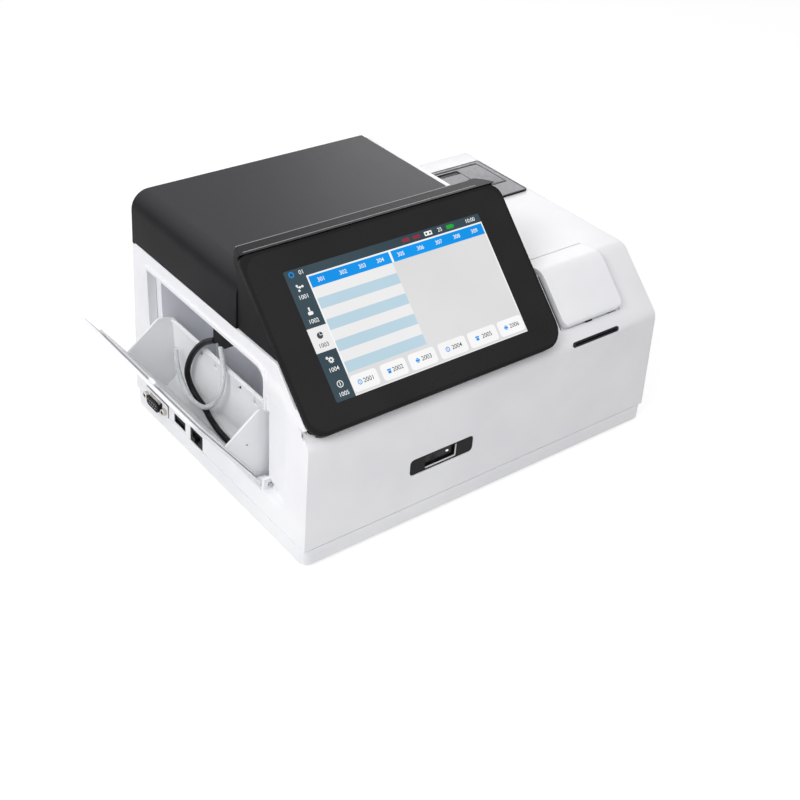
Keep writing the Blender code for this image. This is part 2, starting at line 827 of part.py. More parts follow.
def add_top_openings(shell):
    """Openings in the slope and the deck: display, hood, cartridge bay and printer."""
    inset = DISPLAY_PORT_INSET
    display = over_slope(
        "display_access",
        rounded_rectangle(
            GLASS_LEFT + inset, GLASS_BOTTOM + inset, GLASS_RIGHT - inset, 0, GLASS_CORNER
        ),
        -WALL * 3,
        WALL * 2,
    )
    hood = along_z(
        "hood_access",
        rounded_rectangle(
            GLASS_LEFT, HOOD_FRONT + OVERRUN, HOOD_RIGHT - OVERRUN, RISER_REAR - OVERRUN, CORNER_RADIUS
        ),
        DECK_HEIGHT - OVERRUN,
        DECK_HEIGHT + OVERRUN,
    )
    bay = along_x(
        "bay_access",
        [
            (BAY_FRONT, DECK_HEIGHT - SHOULDER_RADIUS * 3, 0),
            (LID_REAR - LID_HINGE_RADIUS, DECK_HEIGHT - WALL * 2, 0),
            (LID_REAR - LID_HINGE_RADIUS, DECK_HEIGHT + OVERRUN, 0),
            (BAY_FRONT, DECK_HEIGHT + OVERRUN, 0),
        ],
        LID_LEFT + BAY_INSET,
        LID_RIGHT - BAY_INSET,
    )
    printer = along_z(
        "printer_access",
        rounded_rectangle(
            PRINTER_LEFT + PRINTER_FLANGE - GAP,
            PRINTER_FRONT + PRINTER_FLANGE - GAP,
            PRINTER_RIGHT - PRINTER_FLANGE + GAP,
            PRINTER_REAR - PRINTER_FLANGE + GAP,
            0,
        ),
        DECK_HEIGHT - OVERRUN,
        DECK_HEIGHT + OVERRUN,
    )
    axis_y, axis_z = lid_axis()
    for name, middle in (("left_lid_boss", LID_LEFT), ("right_lid_boss", LID_RIGHT)):
        away = math.copysign(1, middle - (LID_LEFT + LID_RIGHT) / 2)
        ends = sorted((middle - away * WALL / 2, middle + away * (LID_BOSS_WIDTH + WALL)))
        boss = box(
            name,
            (ends[0], axis_y - LID_BOSS_WIDTH, axis_z - LID_BOSS_WIDTH),
            (ends[1], axis_y + LID_BOSS_WIDTH, DECK_HEIGHT - WALL / 2),
        )
        join(shell, boss)
    reach = LID_BOSS_WIDTH + GAP
    bore = rod("lid_pin_hole", lid_pin_end(-reach), lid_pin_end(reach), LID_PIN_RADIUS + RUNNING_GAP)
    cut(shell, display, hood, bay, printer, make_lid_seat(), bore)


def make_lid_seat():
    """Cutter for the ledge under the lid's rim and the trough for its rounded rear edge."""
    axis_y, axis_z = lid_axis()
    grow = LID_HINGE_RADIUS + GAP
    ledge = DECK_HEIGHT - LID_EDGE
    return along_x(
        "lid_seat",
        [
            (*slope_point(LID_BOTTOM - GAP * 3, -LID_EDGE), 0),
            (*slope_point(LID_BOTTOM - GAP * 3, OVERRUN), 0),
            (*knee(OVERRUN, DECK_HEIGHT + OVERRUN), 0),
            (axis_y + grow, DECK_HEIGHT + OVERRUN, 0),
            (axis_y + grow, axis_z - grow, 0),
            (axis_y - grow, axis_z - grow, 0),
            (axis_y - grow, ledge, 0),
            (*knee(-LID_EDGE, ledge), 0),
        ],
        LID_LEFT - GAP,
        LID_RIGHT + GAP,
    )


def add_wall_openings(shell):
    """Openings in the front, left and rear walls."""
    scanner = along_y(
        "scanner_opening",
        rounded_rectangle(
            SCANNER_LEFT, SCANNER_LOW, SCANNER_RIGHT, SCANNER_HIGH, SCANNER_CORNER
        ),
        -OVERRUN,
        OVERRUN,
    )
    cut(shell, scanner, make_slot_plug("slot_opening", GAP, SLOT_DEPTH))
    reach = WALL * 3
    ports = (
        ("serial_notch", SERIAL_FRONT, SERIAL_REAR, SERIAL_LOW - WALL, SERIAL_LOW + SERIAL_HEIGHT),
        ("usb_notch", USB_FRONT, USB_REAR, USB_LOW, USB_HIGH),
        ("network_notch", NETWORK_FRONT, NETWORK_REAR, NETWORK_LOW - WALL, NETWORK_HIGH),
    )
    for name, front, rear, low, high in ports:
        grow = PORT_WALL_GAP
        cut(shell, box(name, (-OVERRUN, front - grow, low - grow), (reach, rear + grow, high + grow)))
    inlet = rod(
        "inlet_hole",
        (INLET_X, DEPTH - OVERRUN, INLET_Z),
        (INLET_X, DEPTH + OVERRUN, INLET_Z),
        INLET_RADIUS + GAP,
    )
    switch = switch_box("switch_hole", GAP, DEPTH - OVERRUN, DEPTH + OVERRUN)
    cut(shell, inlet, switch)
    for index in range(VENT_COUNT):
        left = VENT_LEFT + index * VENT_PITCH
        slot = along_y(
            f"vent_{index}",
            rounded_rectangle(
                left, VENT_LOW, left + VENT_WIDTH, VENT_LOW + VENT_HEIGHT, VENT_WIDTH * 0.49
            ),
            DEPTH - OVERRUN,
            DEPTH + OVERRUN,
            steps=2,
        )
        cut(shell, slot)


# Hood and screen housing


def hood_corners(inset, low, right):
    """Outline (x, z, radius) of the hood across the case."""
    top = HOOD_TOP - inset
    return [
        (left_wall(low, inset), low, 0),
        (right - inset, low, 0),
        (right - inset, top, 0),
        (left_wall(top, inset), top, HOOD_RADIUS - inset),
    ]


def make_top_hood():
    """Black cover with a rounded left shoulder, over the reading unit."""
    low = DECK_HEIGHT + GAP
    hood = along_y(
        "top_hood", hood_corners(0, low, HOOD_RIGHT), HOOD_FRONT, DEPTH, BLACK, steps=8
    )
    space = along_y(
        "hood_space",
        hood_corners(WALL, low - OVERRUN, HOOD_RIGHT),
        HOOD_FRONT + WALL,
        DEPTH - WALL,
        steps=8,
    )
    return cut(hood, space, make_cheek("hood_cheek_relief", GAP))


def screen_corners(inset):
    """Side outline (y, z, radius) of the screen housing behind its bezel."""
    low = DECK_HEIGHT + GAP
    back = BEZEL_OFFSET - BEZEL_THICKNESS - GAP
    lip = BEZEL_TOP + GAP
    rear = HOOD_FRONT - GAP - inset
    drop = OVERRUN if inset else 0
    strip = SCREEN_TOP - inset
    lip_y, lip_z = slope_point(lip, back - inset)
    outline = [(*slope_point(BEZEL_BOTTOM + inset, GAP - drop), 0)]
    outline.append((*slope_point(BEZEL_BOTTOM + inset, back - inset), 0))
    if inset:
        outline.append((lip_y + (strip - lip_z), strip, 0))
    else:
        outline.append((lip_y, lip_z, 0))
        outline.append((lip_y - (strip - lip_z), strip, 0))
    outline.append((SCREEN_STRIP_REAR - inset, strip, 0))
    outline.append((rear, HOOD_TOP + GAP, 0))
    outline.append((rear, low - drop, 0))
    outline.append((*knee(GAP - drop, low - drop), 0))
    return outline


def screen_footprint(name, grow, finish=None):
    """Rounded outline of the screen seen square to the slope, as a tall block."""
    left = left_wall(SCREEN_TOP) - grow
    return over_slope(
        name,
        [
            (left, BEZEL_BOTTOM - grow, SCREEN_CORNER_LEFT),
            (BEZEL_RIGHT + grow, BEZEL_BOTTOM - grow, SCREEN_CORNER_BOTTOM),
            (BEZEL_RIGHT + grow, BEZEL_TOP + OVERRUN, SCREEN_CORNER_TOP),
            (left, BEZEL_TOP + OVERRUN, SCREEN_CORNER_LEFT),
        ],
        -DECK_HEIGHT,
        DECK_HEIGHT,
        finish,
        steps=6,
    )


def make_screen_housing():
    """Black wedge that carries the display over the slope and the front of the deck."""
    left = left_wall(SCREEN_TOP)
    body = along_x("screen_housing", screen_corners(0), left, BEZEL_RIGHT, BLACK)
    keep_common(body, screen_footprint("screen_footprint", 0))
    space = along_x("screen_space", screen_corners(WALL), left + WALL, BEZEL_RIGHT - WALL)
    window = over_slope(
        "display_window",
        rounded_rectangle(
            GLASS_LEFT + WALL, GLASS_BOTTOM + WALL, GLASS_RIGHT - WALL, GLASS_TOP - WALL, GLASS_CORNER
        ),
        0,
        BEZEL_OFFSET,
    )
    return cut(body, space, window, make_cheek("screen_cheek_relief", GAP))


def make_screen_bezel():
    """Black frame round the display, with rounded corners and a softened edge."""
    left = left_wall(DECK_HEIGHT)
    bezel = over_slope(
        "screen_bezel",
        [
            (left, BEZEL_BOTTOM, SCREEN_CORNER_LEFT),
            (BEZEL_RIGHT, BEZEL_BOTTOM, SCREEN_CORNER_BOTTOM),
            (BEZEL_RIGHT, BEZEL_TOP, SCREEN_CORNER_TOP / 2),
            (left, BEZEL_TOP, SCREEN_CORNER_LEFT / 2),
        ],
        BEZEL_OFFSET - BEZEL_THICKNESS,
        BEZEL_OFFSET,
        BLACK,
        steps=6,
    )
    bevel(bezel, BEZEL_EDGE, angle=70)
    opening = over_slope(
        "glass_opening",
        rounded_rectangle(
            GLASS_LEFT - GAP, GLASS_BOTTOM - GAP, GLASS_RIGHT + GAP, GLASS_TOP + GAP, GLASS_CORNER
        ),
        0,
        BEZEL_OFFSET + OVERRUN,
    )
    return cut(bezel, opening)


def make_display():
    """Cover glass flush with the bezel, and the panel module behind it."""
    over_slope(
        "display_glass",
        rounded_rectangle(GLASS_LEFT, GLASS_BOTTOM, GLASS_RIGHT, GLASS_TOP, GLASS_CORNER - GAP),
        BEZEL_OFFSET - GLASS_THICKNESS,
        BEZEL_OFFSET,
        GLASS,
    )
    inset = WALL + GAP * 2
    top = BEZEL_OFFSET - GLASS_THICKNESS - GAP
    over_slope(
        "display_module",
        rounded_rectangle(
            GLASS_LEFT + inset, GLASS_BOTTOM + inset, GLASS_RIGHT - inset, GLASS_TOP - inset, GLASS_CORNER
        ),
        top - DISPLAY_THICKNESS,
        top,
        STEEL,
    )


# Cartridge lid, bay and carrier


def lid_axis():
    """Depth and height of the lid's hinge axis, in the middle of its rounded rear edge."""
    return LID_REAR - LID_HINGE_RADIUS, DECK_HEIGHT + LID_REAR_RISE - LID_HINGE_RADIUS


def lid_pin_end(reach):
    """A point on the lid's hinge axis, beyond one side of the lid by that much."""
    x = LID_RIGHT if reach > 0 else LID_LEFT
    return (x + reach, *lid_axis())


def lid_corners():
    """Side outline (y, z, radius) of the lid: bent over the knee, with a rounded rear edge."""
    foot = GAP - LID_EDGE
    axis_y, axis_z = lid_axis()
    radius = LID_HINGE_RADIUS
    return [
        (*slope_point(LID_BOTTOM, foot), 0),
        (*slope_point(LID_BOTTOM, LID_OFFSET), LID_OFFSET * 0.6),
        (*knee(LID_OFFSET, DECK_HEIGHT + LID_KNEE_RISE), KNEE_RADIUS),
        (axis_y + radius, axis_z + radius, radius * 0.99),
        (axis_y + radius, axis_z - radius, radius * 0.99),
        (axis_y - radius, axis_z - radius, radius * 0.99),
        (axis_y - radius, DECK_HEIGHT + foot, 0),
        (*knee(foot, DECK_HEIGHT + foot), 0),
    ]


def make_cartridge_lid():
    """White flap over the cartridge bay, hinged along its upper edge."""
    lid = along_x("cartridge_lid", lid_corners(), LID_LEFT, LID_RIGHT, WHITE, steps=5)
    outline = over_slope(
        "lid_outline",
        [
            (LID_LEFT, LID_BOTTOM, LID_CORNER),
            (LID_RIGHT, LID_BOTTOM, LID_CORNER),
            (LID_RIGHT, DECK_HEIGHT, 0),
            (LID_LEFT, DECK_HEIGHT, 0),
        ],
        -DECK_HEIGHT,
        DECK_HEIGHT,
    )
    keep_common(lid, outline)
    inset = LID_WALL
    rear = LID_REAR - LID_HINGE_RADIUS * 2 - inset * 2
    space = along_x(
        "lid_space",
        [
            (*slope_point(LID_BOTTOM + inset, -OVERRUN), 0),
            (*slope_point(LID_BOTTOM + inset, LID_OFFSET - inset), 0),
            (*knee(LID_OFFSET - inset, DECK_HEIGHT + LID_KNEE_RISE - inset), KNEE_RADIUS - inset),
            (rear, DECK_HEIGHT + LID_KNEE_RISE / 2 - inset, 0),
            (rear, DECK_HEIGHT - OVERRUN, 0),
        ],
        LID_LEFT + inset,
        LID_RIGHT - inset,
        steps=5,
    )
    bore = rod("lid_bore", lid_pin_end(-OVERRUN), lid_pin_end(OVERRUN), LID_PIN_RADIUS + RUNNING_GAP)
    return cut(lid, space, bore)


def make_lid_pin():
    reach = LID_BOSS_WIDTH
    rod("lid_hinge_pin", lid_pin_end(-reach), lid_pin_end(reach), LID_PIN_RADIUS, STEEL)


def make_cartridge_bay():
    """Open trough under the lid that runs back as a tunnel to the reader."""
    left, right = LID_LEFT + BAY_INSET - BAY_WALL, LID_RIGHT - BAY_INSET + BAY_WALL
    under = -WALL - GAP
    deck = lid_axis()[1] - LID_HINGE_RADIUS - GAP * 2
    walls = along_x(
        "cartridge_bay",
        [
            (BAY_FRONT, BAY_FLOOR, 0),
            (BAY_REAR, BAY_FLOOR, 0),
            (BAY_REAR, BAY_TUNNEL_TOP, 0),
            (LID_REAR + BAY_WALL, BAY_TUNNEL_TOP, 0),
            (LID_REAR + BAY_WALL, deck, 0),
            (*knee(under, deck), WALL),
            (BAY_FRONT, BAY_FRONT + DECK_HEIGHT - KNEE_DEPTH + under / math.cos(SLOPE), 0),
        ],
        left,
        right,
        DARK,
    )
    room = along_x(
        "bay_room",
        [
            (BAY_FRONT + BAY_WALL, BAY_FLOOR + BAY_WALL, 0),
            (BAY_REAR + OVERRUN, BAY_FLOOR + BAY_WALL, 0),
            (BAY_REAR + OVERRUN, BAY_TUNNEL_TOP - BAY_WALL, 0),
            (LID_REAR, BAY_TUNNEL_TOP - BAY_WALL, 0),
            (LID_REAR, DECK_HEIGHT + OVERRUN, 0),
            (BAY_FRONT + BAY_WALL, DECK_HEIGHT + OVERRUN, 0),
        ],
        left + BAY_WALL,
        right - BAY_WALL,
    )
    return cut(walls, room)


def make_carrier():
    """Tray for one cartridge, which slides back through the tunnel."""
    left, right = LID_LEFT + BAY_INSET + GAP * 2, LID_RIGHT - BAY_INSET - GAP * 2
    low = BAY_FLOOR + BAY_WALL + GAP
    rear = CARRIER_FRONT + CARRIER_LENGTH
    tray = box("cartridge_carrier", (left, CARRIER_FRONT, low), (right, rear, low + CARRIER_HEIGHT), ALUMINIUM)
    floor = low + CARRIER_HEIGHT - CARRIER_POCKET
    pocket = along_z(
        "carrier_pocket",
        rounded_rectangle(
            left + CARRIER_RIM, CARRIER_FRONT + CARRIER_RIM, right - CARRIER_RIM, rear - CARRIER_RIM, WALL
        ),
        floor,
        floor + OVERRUN,
    )
    return cut(tray, pocket)


def make_reader():
    """Heated reading block behind the tunnel, its light detector, and the carrier's motor."""
    left, right = LID_LEFT + BAY_INSET - BAY_WALL, LID_RIGHT - BAY_INSET + BAY_WALL
    front = BAY_REAR + GAP
    rear = front + INCUBATOR_LENGTH
    block = box("incubator_block", (left, front, INCUBATOR_LOW), (right, rear, INCUBATOR_HIGH), ALUMINIUM)
    low = BAY_FLOOR + BAY_WALL
    mouth = box(
        "incubator_mouth",
        (left + BAY_WALL, front - OVERRUN, low),
        (right - BAY_WALL, rear - OVERRUN, BAY_TUNNEL_TOP - BAY_WALL),
    )
    cut(block, mouth)
    y = front + INCUBATOR_LENGTH / 2
    end = left - GAP
    head = rod(
        "optical_module", (end - PHOTO_LENGTH, y, PHOTO_HEIGHT), (end, y, PHOTO_HEIGHT), PHOTO_RADIUS, BLACK, FINE
    )
    flange = rod(
        "optical_flange",
        (end - PHOTO_RADIUS / 4, y, PHOTO_HEIGHT),
        (end, y, PHOTO_HEIGHT),
        PHOTO_RADIUS * 1.25,
        sides=FINE,
    )
    join(head, flange)
    middle = (left + right) / 2
    top = BAY_FLOOR - GAP
    half = MOTOR_SIZE / 2
    motor = along_z(
        "carrier_motor",
        rounded_rectangle(
            middle - half, BAY_REAR - MOTOR_SIZE, middle + half, BAY_REAR, MOTOR_SIZE / 8
        ),
        top - MOTOR_SIZE,
        top,
        STEEL,
        steps=2,
    )
    return head, motor


# Card slot


def slot_frame():
    """Frame on the shoulder whose third axis points out through the card slot."""
    y, z = shoulder(0, 0)
    setback = SHOULDER_RADIUS * (1 / math.cos(SLOT_TILT) - 1)
    turn = Matrix.Rotation(math.radians(90) - SLOT_TILT, 4, "X")
    return Matrix.Translation((0, y, z)) @ turn @ Matrix.Translation((0, 0, -setback))


def make_slot_plug(name, grow, depth, finish=None):
    half = SLOT_HEIGHT / 2 + grow
    return plate(
        name,
        rounded_rectangle(SLOT_LEFT - grow, -half, SLOT_RIGHT + grow, half, half * 0.98),
        slot_frame(),
        -depth,
        SLOT_HEIGHT if grow else 0,
        finish,
    )


def make_card_slot():
    """Dark insert with a slit for a card, and the reader behind it."""
    insert = make_slot_plug("slot_trim", 0, SLOT_DEPTH, DARK)
    half = SLOT_SLIT / 2
    slit = plate(
        "card_slit",
        rounded_rectangle(
            SLOT_LEFT + SLOT_MARGIN, -half, SLOT_RIGHT - SLOT_MARGIN, half, half / 2
        ),
        slot_frame(),
        -SLOT_DEPTH - OVERRUN,
        OVERRUN,
    )
    cut(insert, slit)
    half = READER_HEIGHT / 2
    plate(
        "card_reader",
        rounded_rectangle(SLOT_LEFT, -half, SLOT_RIGHT, half, half / 4),
        slot_frame(),
        -SLOT_DEPTH - GAP - READER_LENGTH,
        -SLOT_DEPTH - GAP,
        GREEN,
        steps=1,
    )


# Scanner


def make_scanner():
    """Black frame in the front wall, its small window and the bar code reader behind."""
    front = front_at(SCANNER_LOW, WALL / 4)
    rear = front + SCANNER_DEPTH
    bezel = along_y(
        "scanner_bezel",
        rounded_rectangle(
            SCANNER_LEFT + GAP,
            SCANNER_LOW + GAP,
            SCANNER_RIGHT - GAP,
            SCANNER_HIGH - GAP,
            SCANNER_CORNER - GAP,
        ),
        front,
        rear,
        BLACK,
    )
    low, high = SCANNER_LOW + SCANNER_EYE_MARGIN, SCANNER_HIGH - SCANNER_EYE_MARGIN
    eye = box(
        "scanner_eye",
        (SCANNER_EYE_LEFT, front - OVERRUN, low),
        (SCANNER_EYE_RIGHT, rear + OVERRUN, high),
    )
    cut(bezel, eye)
    glass = front + SCANNER_DEPTH / 2
    box(
        "scanner_window",
        (SCANNER_EYE_LEFT + GAP, glass, low + GAP),
        (SCANNER_EYE_RIGHT - GAP, glass + SCANNER_GLASS, high - GAP),
        GLASS,
    )
    box(
        "scanner_module",
        (SCANNER_EYE_LEFT - WALL, rear + GAP, SCANNER_LOW - WALL),
        (SCANNER_EYE_RIGHT + WALL, rear + SCANNER_BODY_DEPTH, SCANNER_HIGH + WALL),
        DARK,
    )


# Printer


def make_printer_body():
    """Tub in the deck for the paper roll, with a raised rim and a fixed front bridge."""
    top = DECK_HEIGHT + PRINTER_RISE
    left, right = PRINTER_LEFT + PRINTER_FLANGE, PRINTER_RIGHT - PRINTER_FLANGE
    front, rear = PRINTER_FRONT + PRINTER_FLANGE, PRINTER_REAR - PRINTER_FLANGE
    floor = DECK_HEIGHT - PRINTER_TUB_DEPTH
    body = along_z(
        "printer_body",
        rounded_rectangle(PRINTER_LEFT, PRINTER_FRONT, PRINTER_RIGHT, PRINTER_REAR, WALL),
        DECK_HEIGHT + GAP,
        top,
        DARK,
        steps=3,
    )
    bevel(body, PRINTER_RISE / 4, 1, 70)
    tub = box("printer_tub", (left, front, floor), (right, rear, top - PRINTER_RISE / 3))
    join(body, tub)
    wall = PRINTER_WALL
    room = box(
        "printer_room",
        (left + wall, front + wall, floor + wall),
        (right - wall, rear - wall, DECK_HEIGHT - COVER_THICKNESS),
    )
    mouth = box(
        "printer_mouth",
        (PRINTER_LEFT + COVER_SIDE, COVER_FRONT, DECK_HEIGHT - COVER_THICKNESS * 2),
        (PRINTER_RIGHT - COVER_SIDE, COVER_REAR + EXIT_SLIT, top + OVERRUN),
    )
    bore = rod("cover_pin_hole", cover_pin_end(-wall), cover_pin_end(wall), COVER_PIN_RADIUS + RUNNING_GAP)
    return cut(body, room, mouth, bore)


def cover_pin_end(reach):
    """A point on the axis of the printer cover, beyond its side by that much."""
    x = PRINTER_RIGHT - COVER_SIDE if reach > 0 else PRINTER_LEFT + COVER_SIDE
    top = DECK_HEIGHT + PRINTER_RISE
    return (x + reach, COVER_FRONT + GAP + COVER_HINGE_RADIUS, top - COVER_HINGE_RADIUS)


def make_printer_cover():
    """Cover over the paper roll, with the finger recess and the cheeks of the platen."""
    top = DECK_HEIGHT + PRINTER_RISE
    left, right = PRINTER_LEFT + COVER_SIDE + GAP, PRINTER_RIGHT - COVER_SIDE - GAP
    pin_y, pin_z = cover_pin_end(1)[1:]
    front, rear = pin_y - COVER_HINGE_RADIUS, COVER_REAR
    low = top - COVER_THICKNESS
    edge = COVER_HINGE_RADIUS * 0.6
    cover = along_x(
        "printer_cover",
        [
            (front, pin_z - COVER_HINGE_RADIUS, COVER_HINGE_RADIUS * 0.99),
            (pin_y + COVER_HINGE_RADIUS, pin_z - COVER_HINGE_RADIUS, edge),
            (pin_y + COVER_HINGE_RADIUS, low, 0),
            (rear, low, 0),
            (rear, top, edge / 2),
            (front, top, COVER_HINGE_RADIUS * 0.99),
        ],
        left,
        right,
        DARK,
    )
    axis_y, axis_z = platen_axis()
    for name, x in platen_cheeks():
        cheek = along_x(
            f"{name}_cheek",
            [
                (axis_y - PLATEN_RADIUS, axis_z - PLATEN_RADIUS, WALL / 2),
                (axis_y + PLATEN_RADIUS * 0.8, axis_z - PLATEN_RADIUS, WALL / 2),
                (axis_y + PLATEN_RADIUS * 0.8, top - COVER_THICKNESS / 2, 0),
                (axis_y - PLATEN_RADIUS, top - COVER_THICKNESS / 2, 0),
            ],
            x,
            x + PRINTER_WALL,
        )
        join(cover, cheek)
    recess = along_z(
        "finger_recess",
        rounded_rectangle(
            LEVER_LEFT - GAP, LEVER_FRONT - GAP * 2, LEVER_RIGHT + GAP, rear - PRINTER_WALL, WALL / 5
        ),
        top - LEVER_THICKNESS - GAP * 2,
        top + OVERRUN,
    )
    reach = LEVER_PIN_REACH + GAP
    hinge = rod("lever_bore", lever_pin_end(-reach), lever_pin_end(reach), LEVER_PIN_RADIUS + RUNNING_GAP)
    spindle = rod(
        "platen_bore",
        (left, axis_y, axis_z),
        (right, axis_y, axis_z),
        PLATEN_RADIUS / 3 + RUNNING_GAP,
    )
    pin = rod("cover_pin_bore", cover_pin_end(-OVERRUN), cover_pin_end(OVERRUN), COVER_PIN_RADIUS + RUNNING_GAP)
    return cut(cover, recess, hinge, spindle, pin)


def platen_axis():
    """Depth and height of the platen roller under the free end of the cover."""
    return COVER_REAR - PLATEN_INSET, DECK_HEIGHT + PRINTER_RISE - COVER_THICKNESS - PLATEN_DROP


def lever_pin_end(reach):
    """A point on the axis of the lever, beyond its side by that much."""
    x = LEVER_RIGHT if reach > 0 else LEVER_LEFT
    height = DECK_HEIGHT + PRINTER_RISE - LEVER_PIN_REACH
    return (x + reach, LEVER_FRONT + LEVER_PIN_SETBACK, height)


def platen_cheeks():
    middle = (PRINTER_LEFT + PRINTER_RIGHT) / 2
    half = PAPER_WIDTH / 2 + PRINTER_WALL
    yield "left", middle - half - PRINTER_WALL
    yield "right", middle + half


def make_printer_works():
    """Hinge pin, lever, platen roller, paper roll and print head."""
    rod("printer_cover_pin", cover_pin_end(-PRINTER_WALL / 2), cover_pin_end(PRINTER_WALL / 2), COVER_PIN_RADIUS, STEEL)
    top = DECK_HEIGHT + PRINTER_RISE
    lever = along_z(
        "printer_lever",
        rounded_rectangle(LEVER_LEFT, LEVER_FRONT, LEVER_RIGHT, LEVER_REAR, WALL / 2),
        top - LEVER_THICKNESS - GAP,
        top,
        DARK,
    )
    trunnion = rod(
        "lever_trunnion",
        lever_pin_end(-LEVER_PIN_REACH),
        lever_pin_end(LEVER_PIN_REACH),
        LEVER_PIN_RADIUS,
    )
    join(lever, trunnion)
    y, z = platen_axis()
    middle = (PRINTER_LEFT + PRINTER_RIGHT) / 2
    half = PAPER_WIDTH / 2
    reach = half + PRINTER_WALL * 1.8
    roller = rod("platen_roller", (middle - half, y, z), (middle + half, y, z), PLATEN_RADIUS, RUBBER)
    axle = rod("platen_axle", (middle - reach, y, z), (middle + reach, y, z), PLATEN_RADIUS / 3)
    join(roller, axle)
    roll_y, roll_z = paper_axis()
    roll = rod(
        "paper_roll", (middle - half, roll_y, roll_z), (middle + half, roll_y, roll_z), PAPER_RADIUS, PAPER, FINE
    )
    core = rod(
        "paper_core",
        (middle - half - OVERRUN, roll_y, roll_z),
        (middle + half + OVERRUN, roll_y, roll_z),
        PAPER_CORE,
        sides=FINE,
    )
    cut(roll, core)
    rear = PRINTER_REAR - PRINTER_FLANGE - PRINTER_WALL - GAP
    head_front = y + PLATEN_RADIUS + GAP
    box(
        "print_head",
        (middle - half, head_front, z - PLATEN_RADIUS * 3),
        (middle + half, rear, z + PLATEN_RADIUS * 0.6),
        ALUMINIUM,
    )


def paper_axis():
    """Depth and height of the paper roll, resting on the floor of the tub."""
    floor = DECK_HEIGHT - PRINTER_TUB_DEPTH + PRINTER_WALL
    return PRINTER_FRONT + PAPER_SETBACK, floor + PAPER_RADIUS + GAP


# Tilt-out drawer


def opened(obj):
    """Turns a part of the drawer from its closed pose to the open one, about the hinge."""
    shape = baked(obj)
    shape.data.transform(Matrix.Translation(-HINGE_POINT))
    shape.matrix_world = OPENED
    return shape


def bin_skin(height, inset=0.0):
    """x of the drawer's inner plate at a height, or of a surface that far inside it."""
    return left_wall(height, DOOR_THICKNESS + GAP + inset)


def make_drawer_door():
    """Outer panel of the drawer, flush with the wall when closed, with its two hinge lugs."""
    door = along_x(
        "drawer_door",
        [
            (OPENING_FRONT + DOOR_CLEARANCE, DOOR_LOW, WALL),
            (OPENING_REAR - DOOR_CLEARANCE, DOOR_LOW, WALL),
            (OPENING_REAR - DOOR_CLEARANCE, OPENING_HIGH - DOOR_CLEARANCE, WALL),
            (OPENING_FRONT + DOOR_CLEARANCE, OPENING_HIGH - DOOR_CLEARANCE, DOOR_CORNER),
        ],
        0,
        DOOR_THICKNESS,
        WHITE,
    )
    for vertex in door.data.vertices:
        vertex.co.x += DRAFT * vertex.co.z
    for name, front in drawer_lugs():
        rear = front + DRAWER_LUG_WIDTH
        barrel = rod(f"{name}_barrel", (HINGE_X, front, HINGE_Z), (HINGE_X, rear, HINGE_Z), DRAWER_LUG_RADIUS)
        web = along_y(
            f"{name}_web",
            [
                (left_wall(HINGE_Z, DOOR_THICKNESS / 2), HINGE_Z - DRAWER_LUG_RADIUS / 2, 0),
                (HINGE_X, HINGE_Z - DRAWER_LUG_RADIUS / 2, 0),
                (HINGE_X + DRAWER_LUG_RADIUS * 0.7, HINGE_Z + DRAWER_LUG_RADIUS * 0.7, 0),
                (left_wall(HINGE_Z, DOOR_THICKNESS / 2), HINGE_Z + DRAWER_LUG_RADIUS * 3, 0),
            ],
            front,
            rear,
        )
        join(door, barrel, web)
    reach = OVERRUN * 2
    bore = rod(
        "drawer_bore",
        (HINGE_X, OPENING_FRONT - reach, HINGE_Z),
        (HINGE_X, OPENING_REAR + reach, HINGE_Z),
        DRAWER_PIN_RADIUS + RUNNING_GAP,
    )
    return opened(cut(door, bore))


def drawer_lugs():
    yield "front_lug", OPENING_FRONT + DOOR_CLEARANCE
    yield "rear_lug", OPENING_REAR - DOOR_CLEARANCE - DRAWER_LUG_WIDTH


def bin_corners(inset):
    """Outline (x, z, radius) of the bin across the drawer, in its closed pose."""
    top = BIN_TOP + (OVERRUN if inset else 0)
    run = Vector((BIN_RAIL_X - BIN_FLOOR_X, BIN_RAIL_Z - BIN_FLOOR_Z)).normalized()
    rail_x, rail_z = BIN_RAIL_X, BIN_RAIL_Z
    if inset:
        rail_x += run.x * OVERRUN - inset / run.y
        rail_z += run.y * OVERRUN
    side = BIN_PLATE / 4 if inset else BIN_PLATE / 2
    corners = [
        (bin_skin(BIN_FLOOR_Z, side), BIN_FLOOR_Z - BIN_WALL + inset, 0),
        (BIN_FLOOR_X - inset, BIN_FLOOR_Z - BIN_WALL + inset, BIN_FLOOR_RADIUS - inset),
        (rail_x, rail_z, 0 if inset else BIN_WALL),
    ]
    if not inset:
        corners.append((BIN_SHOULDER_X, BIN_TOP, BIN_FLOOR_RADIUS / 2))
    else:
        corners.append((rail_x, top, 0))
    corners.append((bin_skin(BIN_TOP, side), top, 0))
    return corners


